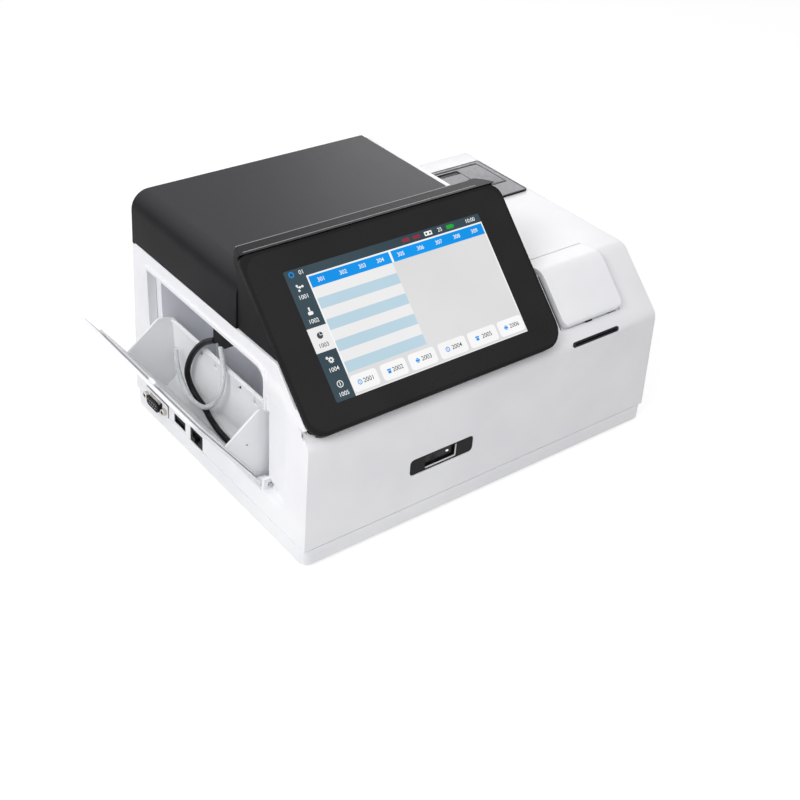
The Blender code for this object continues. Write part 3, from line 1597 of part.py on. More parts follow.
def make_drawer_bin():
    """Sector-shaped bin behind the door: end walls, curved floor, inner wall and back plate."""
    tray = along_y("drawer_bin", bin_corners(0), BIN_FRONT, BIN_REAR, PALE, steps=6)
    foot = BIN_FLOOR_Z - BIN_WALL / 2
    back = along_y(
        "bin_back_plate",
        [
            (bin_skin(foot), foot, 0),
            (bin_skin(foot, BIN_PLATE), foot, 0),
            (bin_skin(BIN_PLATE_TOP, BIN_PLATE), BIN_PLATE_TOP, 0),
            (bin_skin(BIN_PLATE_TOP), BIN_PLATE_TOP, 0),
        ],
        BIN_FRONT - BIN_PLATE / 2,
        BIN_REAR + BIN_PLATE / 2,
    )
    rail = along_y("bin_rail", rail_corners(), BIN_FRONT + GAP, BIN_REAR - GAP)
    room = along_y("bin_room", bin_corners(BIN_WALL), BIN_FRONT + BIN_WALL, BIN_REAR - BIN_WALL, steps=6)
    cut(tray, room)
    join(tray, back, rail)
    run = Vector((BIN_RAIL_X - BIN_FLOOR_X, BIN_RAIL_Z - BIN_FLOOR_Z)).normalized()
    for index, share in enumerate(BIN_HOLE_SHARES):
        y = BIN_REAR + (BIN_FRONT - BIN_REAR) * share
        low = BIN_RAIL_Z - BIN_HOLE_DROP - BIN_HOLE * run.y
        turned = 1 if index % 2 else -1
        wedge = along_x(
            f"bin_hole_{index}",
            [
                (y - turned * BIN_HOLE / 2, low, 0),
                (y + turned * BIN_HOLE / 2, low, 0),
                (y + turned * BIN_HOLE / 2, low + BIN_HOLE * run.y, 0),
            ],
            BIN_RAIL_X - BIN_HOLE * 2,
            BIN_RAIL_X + BIN_HOLE,
        )
        cut(tray, wedge)
    return opened(tray)


def rail_corners():
    """Outline (x, z, radius) of the rail along the top of the bin's inner wall."""
    run = Vector((BIN_RAIL_X - BIN_FLOOR_X, BIN_RAIL_Z - BIN_FLOOR_Z)).normalized()
    side = Vector((-run.y, run.x))
    top = Vector((BIN_RAIL_X, BIN_RAIL_Z)) - run * BIN_WALL
    return [
        (*(top + side * BIN_WALL / 3), 0),
        (*(top - run * BIN_RAIL_THICKNESS + side * BIN_WALL / 3), 0),
        (*(top - run * BIN_RAIL_THICKNESS + side * BIN_RAIL_WIDTH), 0),
        (*(top + side * BIN_RAIL_WIDTH), 0),
    ]


def make_drawer_pins():
    """Two stub pins that carry the drawer between the jambs."""
    length = DRAWER_PIN_LENGTH / 2
    for name, y, way in (
        ("drawer_pin_front", OPENING_FRONT, 1),
        ("drawer_pin_rear", OPENING_REAR, -1),
    ):
        inner = y + way * (DOOR_CLEARANCE + DRAWER_LUG_WIDTH)
        outer = y - way * (JAMB_WALL + length / 3)
        rod(name, (HINGE_X, outer, HINGE_Z), (HINGE_X, inner, HINGE_Z), DRAWER_PIN_RADIUS, STEEL)


def make_compartment_liner():
    """Open box behind the drawer opening, with the rear land that the door closes over."""
    front, rear = LINER_FRONT, LINER_REAR
    low, high = OPENING_LOW + GAP, LINER_HIGH
    left = JAMB_DEPTH + GAP
    wall = LINER_WALL
    liner = box(
        "compartment_liner",
        (left, front - wall, low - wall),
        (LINER_BACK + wall, rear + wall, high + wall),
        WHITE,
    )
    land = box(
        "liner_land",
        (left, OPENING_FRONT + GAP, low - wall),
        (left + wall, OPENING_REAR + JAMB_WALL, high + JAMB_WALL),
    )
    room = box("liner_room", (-OVERRUN, front, low), (LINER_BACK, rear, high))
    join(liner, land)
    return cut(liner, room)


def make_tubing():
    """Black hose fitting under the compartment roof, and the two hoses that hang from it."""
    top = LINER_HIGH - GAP
    low = top - FITTING_HEIGHT
    fitting = along_x(
        "tube_fitting",
        [
            (FITTING_FRONT, low + FITTING_STEP, 0),
            (FITTING_FRONT + FITTING_STEP * 1.25, low, 0),
            (FITTING_REAR, low, 0),
            (FITTING_REAR, low + FITTING_STEP, 0),
            (FITTING_REAR - FITTING_STEP / 3, top, 0),
            (FITTING_FRONT, top, 0),
        ],
        FITTING_LEFT,
        FITTING_RIGHT,
        BLACK,
    )
    for name, route in (("black_barb", BLACK_TUBE_ROUTE), ("clear_barb", CLEAR_TUBE_ROUTE)):
        start = Vector(route[0])
        back = (start - Vector(route[1])).normalized()
        join(fitting, rod(name, start + back * GAP, start + back * BARB_LENGTH, BARB_RADIUS))
    tube("black_tube", BLACK_TUBE_ROUTE, BLACK_TUBE_RADIUS, RUBBER)
    tube("clear_tube", CLEAR_TUBE_ROUTE, CLEAR_TUBE_RADIUS, CLEAR)
    return fitting


# Ports, inlet and switch


def make_serial_port():
    """Nine-pin connector: flange, D-shaped shell, two jack screws and the body behind."""
    y = (SERIAL_FRONT + SERIAL_REAR) / 2
    z = SERIAL_LOW + SERIAL_HEIGHT / 2
    wall = left_wall(z, WALL) + SERIAL_SETBACK + SERIAL_FLANGE
    port = box(
        "serial_port",
        (wall - SERIAL_FLANGE, SERIAL_FRONT, SERIAL_LOW),
        (wall, SERIAL_REAR, SERIAL_LOW + SERIAL_HEIGHT),
        STEEL,
    )
    half, rise = SERIAL_SHELL_WIDTH / 2, SERIAL_SHELL_HEIGHT / 2
    slant = SERIAL_SHELL_HEIGHT * math.tan(SERIAL_SHELL_SLANT)
    shell_shape = [
        (y - half + slant, z + rise, WALL / 2),
        (y - half, z - rise, WALL / 2),
        (y + half, z - rise, WALL / 2),
        (y + half - slant, z + rise, WALL / 2),
    ]
    face = wall - SERIAL_FLANGE
    shell = along_x("serial_shell", shell_shape, face - SERIAL_SHELL_REACH, wall, steps=2)
    join(port, shell)
    inner = [
        (y + (u - y) * 0.9, z + (v - z) * 0.84, radius * 0.8) for u, v, radius in shell_shape
    ]
    mouth = along_x("serial_mouth", inner, face - SERIAL_SHELL_REACH - OVERRUN, face, steps=2)
    cut(port, mouth)
    for index, side in enumerate((-1, 1)):
        place = y + side * SERIAL_SCREW_PITCH / 2
        screw = rod(
            f"jack_screw_{index}", (face - SERIAL_FLANGE * 3, place, z), (wall, place, z), SERIAL_SCREW_RADIUS, sides=6
        )
        join(port, screw)
    body = box(
        "serial_body",
        (face, y - half, z - rise),
        (wall + SERIAL_BODY_LENGTH, y + half, z + rise),
    )
    join(port, body)
    return port


def make_usb_port():
    """Metal-shelled socket with its contact tongue."""
    front, rear, low, high = USB_FRONT + GAP, USB_REAR - GAP, USB_LOW + GAP, USB_HIGH - GAP
    face = left_wall(low, GAP)
    port = box("usb_port", (face, front, low), (face + USB_LENGTH, rear, high), STEEL)
    wall = USB_WALL
    mouth = box(
        "usb_mouth",
        (face - OVERRUN, front + wall, low + wall),
        (face + USB_LENGTH - wall * 2, rear - wall, high - wall),
    )
    middle = (low + high) / 2
    tongue = box(
        "usb_tongue",
        (face + wall, front + wall * 3, middle),
        (face + USB_LENGTH - wall, rear - wall * 3, middle + USB_TONGUE),
    )
    foot = box(
        "usb_foot",
        (face + wall * 5, front + wall, NETWORK_LOW),
        (face + USB_LENGTH - wall, rear - wall, low + wall / 2),
    )
    return join(cut(port, mouth), tongue, foot)


def make_network_port():
    """Network socket with the keyed mouth that its plug latches into."""
    front, rear, low, high = NETWORK_FRONT + GAP, NETWORK_REAR - GAP, NETWORK_LOW, NETWORK_HIGH - GAP
    face = left_wall(low, GAP)
    port = box("network_port", (face, front, low), (face + NETWORK_LENGTH, rear, high), STEEL)
    margin = NETWORK_MOUTH_MARGIN
    y = (front + rear) / 2
    depth = face + NETWORK_MOUTH_DEPTH
    mouth = box(
        "network_mouth",
        (face - OVERRUN, front + margin, low + margin + NETWORK_KEY),
        (depth, rear - margin, high - margin / 2),
    )
    key = box(
        "network_key",
        (face - OVERRUN, y - NETWORK_KEY, low + margin / 2),
        (depth, y + NETWORK_KEY, high - margin),
    )
    return cut(port, mouth, key)


def make_power_inlet():
    """Round low-voltage socket in the rear wall, with its centre contact."""
    rear = DEPTH + INLET_LIP
    inlet = rod("power_inlet", (INLET_X, DEPTH - INLET_LENGTH, INLET_Z), (INLET_X, rear, INLET_Z), INLET_RADIUS, BLACK)
    lip = rod(
        "inlet_lip", (INLET_X, DEPTH + GAP, INLET_Z), (INLET_X, rear, INLET_Z), INLET_LIP_RADIUS
    )
    bore = rod(
        "inlet_bore",
        (INLET_X, DEPTH - INLET_LENGTH * 0.8, INLET_Z),
        (INLET_X, DEPTH + OVERRUN, INLET_Z),
        INLET_BORE,
    )
    contact = rod(
        "inlet_contact",
        (INLET_X, DEPTH - INLET_LENGTH * 0.9, INLET_Z),
        (INLET_X, DEPTH, INLET_Z),
        INLET_PIN,
    )
    return join(cut(join(inlet, lip), bore), contact)


def switch_box(name, grow, front, rear, finish=None):
    half = SWITCH_WIDTH / 2 + grow
    rise = SWITCH_HEIGHT / 2 + grow
    return box(
        name,
        (SWITCH_X - half, front, INLET_Z - rise),
        (SWITCH_X + half, rear, INLET_Z + rise),
        finish,
    )


def make_power_switch():
    """Rocker switch beside the inlet: its frame and the rocker, which tips about its middle."""
    rear = DEPTH + SWITCH_LIP
    frame = switch_box("switch_frame", 0, DEPTH - SWITCH_BODY_LENGTH, rear, BLACK)
    join(frame, switch_box("switch_lip", SWITCH_WALL, DEPTH + GAP, rear))
    cut(frame, switch_box("switch_well", -SWITCH_WALL, DEPTH - SWITCH_BODY_LENGTH / 2, rear + OVERRUN))
    half = SWITCH_WIDTH / 2 - SWITCH_WALL - GAP
    rise = SWITCH_HEIGHT / 2 - SWITCH_WALL - GAP * 5
    depth = rear - ROCKER_THICKNESS
    along_x(
        "power_switch",
        [
            (depth, INLET_Z - rise * 0.6, 0),
            (depth, INLET_Z + rise * 0.6, 0),
            (rear - ROCKER_THICKNESS * 0.3, INLET_Z + rise, ROCKER_THICKNESS / 10),
            (rear - ROCKER_THICKNESS * 0.1, INLET_Z, SWITCH_HEIGHT),
            (rear + ROCKER_THICKNESS * 0.3, INLET_Z - rise, ROCKER_THICKNESS / 10),
        ],
        SWITCH_X - half,
        SWITCH_X + half,
        BLACK,
    )
    return frame


# Inside the case


def make_main_board():
    """Main circuit board on the pan's standoffs, level with the ports."""
    return box(
        "main_board",
        (BOARD_LEFT, BOARD_FRONT, BOARD_LEVEL),
        (BOARD_RIGHT, BOARD_REAR, BOARD_LEVEL + BOARD_THICKNESS),
        GREEN,
    )


def make_pump():
    """Peristaltic pump head on the back of the compartment, with its motor."""
    face = LINER_BACK + LINER_WALL + GAP
    y = PUMP_FRONT + PUMP_LENGTH / 2
    z = PUMP_LOW + PUMP_HEIGHT / 2
    pump = along_x(
        "waste_pump",
        rounded_rectangle(
            PUMP_FRONT, PUMP_LOW, PUMP_FRONT + PUMP_LENGTH, PUMP_LOW + PUMP_HEIGHT, PUMP_HEIGHT / 4
        ),
        face,
        face + PUMP_DEPTH,
        BLACK,
    )
    motor = rod(
        "pump_motor",
        (face + PUMP_DEPTH / 2, y, z),
        (face + PUMP_DEPTH + PUMP_MOTOR_LENGTH, y, z),
        PUMP_MOTOR_RADIUS,
    )
    return join(pump, motor)


def bounds(parts):
    """Lowest and highest corner of the box that holds every part, modifiers applied."""
    bpy.context.view_layer.update()
    graph = bpy.context.evaluated_depsgraph_get()
    points = []
    for obj in parts:
        shape = obj.evaluated_get(graph)
        points += [obj.matrix_world @ vertex.co for vertex in shape.to_mesh().vertices]
        shape.to_mesh_clear()
    return [Vector(map(pick, zip(*points))) for pick in (min, max)]


def place_on_ground():
    """Parents every part to one empty that centres the bounding box over the origin."""
    parts = list(PARTS.objects)
    low, high = bounds(parts)
    middle = (low + high) / 2
    frame = bpy.data.objects.new("analyser", None)
    PARTS.objects.link(frame)
    frame.location = (-middle.x, -middle.y, FOOT_STAND)
    for obj in parts + list(CUTTERS.objects):
        obj.parent = frame


def main():
    make_base_pan()
    make_feet()
    make_main_housing()
    make_top_hood()
    make_screen_housing()
    make_screen_bezel()
    make_display()
    make_cartridge_lid()
    make_lid_pin()
    make_cartridge_bay()
    make_carrier()
    make_reader()
    make_card_slot()
    make_scanner()
    make_printer_body()
    make_printer_cover()
    make_printer_works()
    make_drawer_door()
    make_drawer_bin()
    make_drawer_pins()
    make_compartment_liner()
    make_tubing()
    make_serial_port()
    make_usb_port()
    make_network_port()
    make_power_inlet()
    make_power_switch()
    make_main_board()
    make_pump()
    place_on_ground()


main()
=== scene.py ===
"""Looks of the bench-top immunoassay analyser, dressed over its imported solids.

Everything is in metres. Places are written in the case frame, as the part's own sizes are: x from the
foot of the left wall, y from the foot of the front wall, z from the underside of the base pan. CASE
carries them into the row's frame.
"""

import logging
import math
from dataclasses import dataclass
from enum import Enum
from itertools import product

import bmesh
import bpy
import numpy as np
from mathutils import Matrix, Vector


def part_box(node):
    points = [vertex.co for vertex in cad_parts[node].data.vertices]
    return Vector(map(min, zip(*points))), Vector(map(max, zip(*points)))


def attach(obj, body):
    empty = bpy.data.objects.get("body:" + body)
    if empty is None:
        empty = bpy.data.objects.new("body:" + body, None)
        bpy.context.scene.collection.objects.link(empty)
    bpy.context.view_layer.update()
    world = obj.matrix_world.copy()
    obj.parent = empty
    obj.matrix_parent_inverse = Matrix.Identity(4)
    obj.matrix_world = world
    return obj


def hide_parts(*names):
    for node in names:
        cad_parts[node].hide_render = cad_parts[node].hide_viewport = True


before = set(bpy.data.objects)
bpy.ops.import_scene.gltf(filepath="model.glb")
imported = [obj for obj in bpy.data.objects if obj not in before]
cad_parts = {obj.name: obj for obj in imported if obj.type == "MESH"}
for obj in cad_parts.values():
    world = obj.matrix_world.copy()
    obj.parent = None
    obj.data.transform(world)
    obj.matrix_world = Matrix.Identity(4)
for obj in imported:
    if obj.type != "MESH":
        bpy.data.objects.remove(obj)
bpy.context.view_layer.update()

LOG = logging.getLogger("analyser")
CASE = np.array(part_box("base_pan")[0])
DECK_HEIGHT = 0.1274
KNEE_DEPTH = 0.0407
CASE_DEPTH = 0.215
SIDE_DRAFT_SHARE = 0.03
BEZEL_OFFSET = 0.0080
DRAWER_TILT = math.radians(38)
DISC_HOLE = 0.0001
MERGE = 1e-6


class Body(Enum):
    """The bodies that the scene's own pieces ride on."""

    CASE = "case"
    DRAWER = "drawer"
    COVER = "printer_cover"


class Pattern(Enum):
    """How the fine relief of a finish runs."""

    GRAIN = "grain"
    DRAWN_X = "lines along x"
    DRAWN_Y = "lines along y"
    TRACES = "traces"
    LIT = "lit"


# Finishes

NOISE_SHARES = (0.35, 0.65)
PAINTED_TOP_LIGHT_SHARES = (0.45, 0.95)
MILKY_SHARE = 0.6
TRACE_PITCH = 0.003846
UNLIT = "#050505"


def linear(code: str) -> tuple[float, float, float, float]:
    """Linear colour of an sRGB hex value: low channels divided by 12.92, the rest raised to 2.4.

    Args:
        code: Six hex digits after a hash.

    Returns:
        Red, green, blue and an alpha of 1.
    """
    share = np.array([int(code[i : i + 2], 16) for i in (1, 3, 5)]) / 255
    value = np.where(share <= 0.04045, share / 12.92, ((share + 0.055) / 1.055) ** 2.4)
    return (*value.tolist(), 1.0)


def add_node(tree: bpy.types.NodeTree, kind: str, **given: object) -> bpy.types.Node:
    """Adds a node, sets its properties and sockets, and links what is an output of another node.

    Args:
        tree: The tree it goes into.
        kind: Blender's name for the kind of node.
        **given: A property's name and value, or a socket's name, with _ for a space, and its value
            or the output that feeds it. Sockets known by place are s0, s1 and so on.

    Returns:
        The new node.
    """
    node = tree.nodes.new(kind)
    for name, value in given.items():
        socket = None
        if name[0] == "s" and name[1:].isdigit():
            socket = node.inputs[int(name[1:])]
        elif name.replace("_", " ") in node.inputs:
            socket = node.inputs[name.replace("_", " ")]
        if socket is None:
            setattr(node, name, value)
        elif isinstance(value, bpy.types.NodeSocket):
            tree.links.new(value, socket)
        else:
            socket.default_value = value
    return node


@dataclass(frozen=True)
class Finish:
    """A surface: two colours that drift into each other, a spread of roughness and a fine relief.

    grain, drift and relief are metres; the pattern's scale is one over the real size it stands for.
    upper is a painted highlight: the lighter colour of faces that look up, standing in for light from above;
    empty for none.
    milky is how far light runs under the skin, in metres, and shine the strength of the gloss.
    """

    name: str
    colour: str
    drifted: str
    grain: float = 0.0007
    drift: float = 0.045
    relief: float = 0.000012
    rough: tuple[float, float] = (0.38, 0.46)
    pattern: Pattern = Pattern.GRAIN
    metal: float = 0.0
    ior: float = 1.5
    shine: float = 0.5
    clear: float = 0.0
    milky: float = 0.0
    stretch: float = 30.0
    # Painted highlight: colour of faces that look up.
    upper: str = ""

    def make(self) -> bpy.types.Material:
        """The material, made once and then shared by every piece of this finish."""
        known = bpy.data.materials.get(self.name)
        return known if known and known.get("finish") else self.build()

    def build(self) -> bpy.types.Material:
        """Lays out the nodes: object place, drift of colour, roughness and bump.

        Returns:
            The new material.
        """
        made = bpy.data.materials.new(self.name)
        made["finish"] = True
        made.use_nodes = True
        tree = made.node_tree
        shader = tree.nodes["Principled BSDF"]
        place = add_node(tree, "ShaderNodeTexCoord").outputs["Object"]
        lines = {Pattern.DRAWN_X: (1 / self.stretch, 1, 1), Pattern.DRAWN_Y: (1, 1 / self.stretch, 1)}
        turned = add_node(
            tree, "ShaderNodeMapping", Vector=place, Scale=lines.get(self.pattern, (1, 1, 1))
        ).outputs["Vector"]
        cloud = add_node(tree, "ShaderNodeTexNoise", Vector=place, Scale=1 / self.drift, Detail=3.0)
        fine = add_node(tree, "ShaderNodeTexNoise", Vector=turned, Scale=1 / self.grain, Detail=2.0)
        relief = fine.outputs["Fac"]
        share = cloud.outputs["Fac"]
        if self.pattern is Pattern.TRACES:
            share = relief = self.traces(tree, place)
        blend = add_node(
            tree,
            "ShaderNodeMix",
            data_type="RGBA",
            s0=self.spread(tree, share, 0.0, 1.0),
            s6=linear(self.colour),
            s7=linear(self.drifted),
        ).outputs[2]
        # Painted highlight: faces that look up go over to the lighter upper colour.
        if self.upper:
            blend = self.painted_top_light(tree, blend)
        shader.inputs["Metallic"].default_value = self.metal
        shader.inputs["IOR"].default_value = self.ior
        shader.inputs["Specular IOR Level"].default_value = self.shine
        shader.inputs["Transmission Weight"].default_value = self.clear
        if self.milky:
            shader.inputs["Subsurface Weight"].default_value = MILKY_SHARE
            shader.inputs["Subsurface Radius"].default_value = (1, 1, 1)
            shader.inputs["Subsurface Scale"].default_value = self.milky
        tree.links.new(self.spread(tree, fine.outputs["Fac"], *self.rough), shader.inputs["Roughness"])
        if self.pattern is Pattern.LIT:
            shader.inputs["Base Color"].default_value = linear(UNLIT)
            tree.links.new(blend, shader.inputs["Emission Color"])
            shader.inputs["Emission Strength"].default_value = 1.0
            return made
        tree.links.new(blend, shader.inputs["Base Color"])
        bump = add_node(tree, "ShaderNodeBump", Distance=self.relief, Height=relief)
        tree.links.new(bump.outputs["Normal"], shader.inputs["Normal"])
        return made

    def painted_top_light(self, tree: bpy.types.NodeTree, blend: bpy.types.NodeSocket) -> bpy.types.NodeSocket:
        """Painted highlight: colour that goes over to the lighter upper one as the normal's height part runs
        through PAINTED_TOP_LIGHT_SHARES.

        Args:
            tree: The tree it goes into.
            blend: Colour of the other faces.

        Returns:
            The mixed colour.
        """
        normal = add_node(tree, "ShaderNodeNewGeometry").outputs["Normal"]
        height = add_node(tree, "ShaderNodeSeparateXYZ", Vector=normal).outputs["Z"]
        first, last = PAINTED_TOP_LIGHT_SHARES
        share = add_node(tree, "ShaderNodeMapRange", Value=height, s1=first, s2=last).outputs[0]
        mixed = add_node(
            tree, "ShaderNodeMix", data_type="RGBA", s0=share, s6=blend, s7=linear(self.upper)
        )
        return mixed.outputs[2]

    @staticmethod
    def spread(
        tree: bpy.types.NodeTree, value: bpy.types.NodeSocket, low: float, high: float
    ) -> bpy.types.NodeSocket:
        """Carries the middle of a noise, NOISE_SHARES, over to low and high.

        Args:
            tree: The tree it goes into.
            value: The noise.
            low: Result at the first of the two shares.
            high: Result at the second.

        Returns:
            The spread value.
        """
        first, last = NOISE_SHARES
        made = add_node(tree, "ShaderNodeMapRange", Value=value, s1=first, s2=last, s3=low, s4=high)
        return made.outputs[0]

    @staticmethod
    def traces(tree: bpy.types.NodeTree, place: bpy.types.NodeSocket) -> bpy.types.NodeSocket:
        """Copper runs under green lacquer: cells of a square pattern, TRACE_PITCH across.

        Args:
            tree: The tree it goes into.
            place: Object coordinates.

        Returns:
            Height of the copper.
        """
        cells = add_node(
            tree,
            "ShaderNodeTexVoronoi",
            distance="CHEBYCHEV",
            feature="DISTANCE_TO_EDGE",
            Vector=place,
            Scale=1 / TRACE_PITCH,
        )
        return cells.outputs["Distance"]


WHITE_ABS = Finish(
    # Moulded ABS from a spark-eroded mould: a soft, even white with a dull, finely pebbled shine.
    "white_moulded_abs", "#EDEDF0", "#E8E8EC", grain=0.0008, relief=0.000010, rough=(0.42, 0.50),
    shine=0.30,
)
INNER_ABS_PAINTED_LIGHTER = Finish(
    # The same ABS as moulded inside, unpainted: a little cooler and smoother than the outside, and
    # drawn lighter than it, as painted light that offsets the shade deep in the compartment.
    "inner_abs_painted_lighter", "#F4F5FA", "#EEEFF5", grain=0.0016, relief=0.000006, rough=(0.36, 0.44),
    shine=0.30,
)
BLACK_ABS_WITH_PAINTED_TOP_LIGHT = Finish(
    # Moulded black ABS with a fine leather grain; faces that look up get a painted highlight, a lighter grey
    # for light from above.
    "black_abs_with_painted_top_light", "#222224", "#1D1D1F", grain=0.0007, relief=0.000022, rough=(0.36, 0.46),
    shine=0.05, upper="#3B3B3E",
)
BEZEL_ABS = Finish(
    # Satin black moulding round the display, darker and smoother than the hood.
    "satin_black_abs", "#232324", "#1F1F20", grain=0.0009, relief=0.000008, rough=(0.36, 0.44),
    shine=0.04,
)
COVER_SHEET = Finish(
    # Hard-coated polycarbonate sheet laid over the display and its frame: flat satin black.
    "hard_coated_sheet", "#242425", "#202021", grain=0.0012, relief=0.000002, rough=(0.26, 0.34),
    shine=0.08,
)
PRINTER_ABS = Finish(
    # Grey glass-filled moulding of the printer: faintly violet, with short pale fibres.
    "grey_glass_filled_moulding", "#56535C", "#4B4851", grain=0.0005, drift=0.004, relief=0.000018,
    rough=(0.34, 0.46), shine=0.30,
)
DARK_ABS_AND_PAINTED_SHADE = Finish(
    # Dull charcoal moulding of the card slot's trim, the cartridge bay and the reader, so that it reads
    # as depth; the same colour is painted shade beside the lid, in its notch and behind the bin's holes.
    "charcoal_moulding_and_painted_shade", "#343438", "#2B2B2F", grain=0.0006, relief=0.000014, rough=(0.50, 0.60),
    shine=0.10,
)
GREY_ABS_AND_PAINTED_LIGHT_AND_SHADE = Finish(
    # Mid grey moulding of the cover plug; the same grey is painted highlight along the housing's top
    # edges and painted shade under the lid's lower edge: neither gap nor skin, so that edges read softly.
    "mid_grey_moulding_and_painted_light_and_shade", "#8A8A90", "#808087", grain=0.0006, relief=0.000012, rough=(0.44, 0.54),
    shine=0.20,
)
BIN_PP = Finish(
    # Moulded polypropylene of the bin: milky, slightly waxy, with flow clouds a hand's width long.
    "milky_polypropylene", "#F8F9FB", "#F2F4F7", grain=0.0020, drift=0.030, relief=0.000008,
    rough=(0.30, 0.38), shine=0.30, milky=0.0040,
)
COVER_GLASS = Finish(
    # Chemically strengthened glass, printed black behind: a deep mirror with faint finger smears.
    "printed_cover_glass", "#060607", "#0A0A0B", grain=0.018, relief=0.0, rough=(0.04, 0.10),
    ior=1.52, shine=0.35,
)
SCANNER_GLASS = Finish(
    # Dark red acrylic filter over the bar code reader: nearly black until light strikes through.
    "dark_acrylic_window", "#221E1E", "#181616", grain=0.010, relief=0.0, rough=(0.05, 0.12),
    ior=1.49, shine=0.20,
)
SILICONE = Finish(
    # Extruded silicone hose: milky and see-through, brighter along its edges, softly shining.
    "clear_silicone_hose", "#FAFBFC", "#F2F4F6", grain=0.0006, drift=0.012, relief=0.000004,
    rough=(0.18, 0.28), ior=1.41, clear=0.35,
)
BLACK_HOSE = Finish(
    # Extruded black PVC hose: soft, half-glossy skin with faint die lines.
    "black_pvc_hose", "#0C0C0E", "#131315", grain=0.0004, drift=0.006, relief=0.000010,
    rough=(0.34, 0.46), shine=0.22,
)
NICKEL = Finish(
    # Nickel-plated, stamped sheet: warm silver with the rolling marks of the strip.
    "nickel_plated_sheet", "#C9C6BF", "#B4B1AA", grain=0.0002, drift=0.004, relief=0.000004,
    rough=(0.22, 0.36), pattern=Pattern.DRAWN_Y, metal=1.0,
)
STEEL = Finish(
    # Ground stainless bar for pins: cool silver with fine turning lines.
    "ground_stainless_steel", "#BFC1C4", "#A9ABAF", grain=0.0002, drift=0.004, relief=0.000003,
    rough=(0.18, 0.30), pattern=Pattern.DRAWN_X, metal=1.0,
)
ALUMINIUM = Finish(
    # Clear anodised, bead-blasted aluminium: pale grey with a powdery shine.
    "anodised_aluminium", "#C6C8CB", "#BABCC0", grain=0.0004, drift=0.010, relief=0.000008,
    rough=(0.36, 0.46), metal=1.0,
)
GOLD = Finish(
    # Thin gold plate on spring contacts: a warm glint in dark sockets.
    "gold_plated_contact", "#D9B35A", "#C79F48", grain=0.0002, drift=0.002, relief=0.000002,
    rough=(0.22, 0.32), metal=1.0,
)
SOCKET_PLASTIC_AND_PAINTED_SHADE = Finish(
    # Glass-filled black nylon of plug sockets: matt, faintly speckled. The same black is painted shade
    # in the screw slots and the posts' threaded holes.
    "black_nylon_and_painted_shade", "#141416", "#1D1E20", grain=0.0003, drift=0.001, relief=0.000010,
    rough=(0.46, 0.58), shine=0.12,
)
FOOT_RUBBER = Finish(
    # Moulded rubber foot: dead matt charcoal with a dusty bloom.
    "moulded_rubber", "#2A2A2A", "#3A3A39", grain=0.0008, drift=0.005, relief=0.000030,
    rough=(0.74, 0.88), shine=0.3,
)
BOARD = Finish(
    # Lacquered circuit board: green glass fibre with raised copper runs.
    "lacquered_circuit_board", "#0E4A25", "#1B6A38", grain=0.0010, relief=0.000030,
    rough=(0.26, 0.36), pattern=Pattern.TRACES,
)
THERMAL_PAPER = Finish(
    # Thermal paper wound on a roll: soft white with the fine steps of its turns.
    "thermal_paper", "#F1F1EC", "#E6E6E0", grain=0.0004, drift=0.006, relief=0.000010,
    rough=(0.62, 0.74), pattern=Pattern.DRAWN_X, shine=0.3,
)


def lit(name: str, colour: str, drifted: str) -> Finish:
    """Part of the lit display: it shines by itself, a little unevenly, as a backlit panel does."""
    glassy = (0.06, 0.12)
    return Finish(
        name, colour, drifted, grain=0.02, drift=0.060, rough=glassy, pattern=Pattern.LIT, shine=0.05
    )


SLATE_LIGHT = lit("lit_slate", "#34454E", "#3C4D57")
BLUE_LIGHT = lit("lit_blue", "#0C9AF0", "#0690E6")
PALE_BLUE_LIGHT = lit("lit_pale_blue", "#B8D2E0", "#BED6E4")
ROW_LIGHT = lit("lit_row", "#ECEBEB", "#EFEEEE")
PANEL_LIGHT = lit("lit_panel", "#DCDCDC", "#E0E0E0")
WHITE_LIGHT = lit("lit_white", "#FAFAFA", "#F4F4F4")
GREEN_LIGHT = lit("lit_green", "#23B33A", "#1FA636")
RED_LIGHT = lit("lit_red", "#8E2F3C", "#9A3642")
INK_LIGHT = lit("lit_ink", "#4A5055", "#42484D")
# Glowing white: a painted highlight, shared with no part of the display.
PAINTED_GLINT = lit("painted_glint_highlight", "#FFFFFF", "#F2F2F2")


# Shapes


@dataclass(frozen=True)
class Place:
    """A frame in the case: its origin, and the directions of its three axes."""

    origin: tuple[float, float, float]
    across: tuple[float, float, float]
    along: tuple[float, float, float]
    outward: tuple[float, float, float]

    def put(self, local: np.ndarray) -> np.ndarray:
        """Row frame points: case corner, plus origin, plus each local number times its own axis.

        Args:
            local: Points of shape (..., 3) in this frame.

        Returns:
            The points in the row's frame, in the same shape.
        """
        axes = np.array([self.across, self.along, self.outward], float)
        return CASE + np.array(self.origin, float) + local @ axes


HALF = math.sqrt(0.5)
SINE = math.sin(DRAWER_TILT)
COSINE = math.cos(DRAWER_TILT)
ON_SLOPE = Place((0, KNEE_DEPTH, DECK_HEIGHT), (1, 0, 0), (0, HALF, HALF), (0, -HALF, HALF))
UPRIGHT = Place((0, 0, 0), (1, 0, 0), (0, 1, 0), (0, 0, 1))
ALONG_X = Place((0, 0, 0), (0, 1, 0), (0, 0, 1), (1, 0, 0))
ON_LEFT = Place((0, 0, 0), (0, -1, 0), (0, 0, 1), (-1, 0, 0))
ON_FRONT = Place((0, 0, 0), (1, 0, 0), (0, 0, 1), (0, -1, 0))
ON_REAR = Place((0, CASE_DEPTH, 0), (-1, 0, 0), (0, 0, 1), (0, 1, 0))
UNDER = Place((0, 0, 0), (1, 0, 0), (0, -1, 0), (0, 0, -1))
DOOR_EDGE = Place((-0.0467, 0.1005, 0.0985), (0, 1, 0), (COSINE, 0, SINE), (-SINE, 0, COSINE))
NUMERAL_SHARE = 0.70
STROKE_SHARE = 0.004


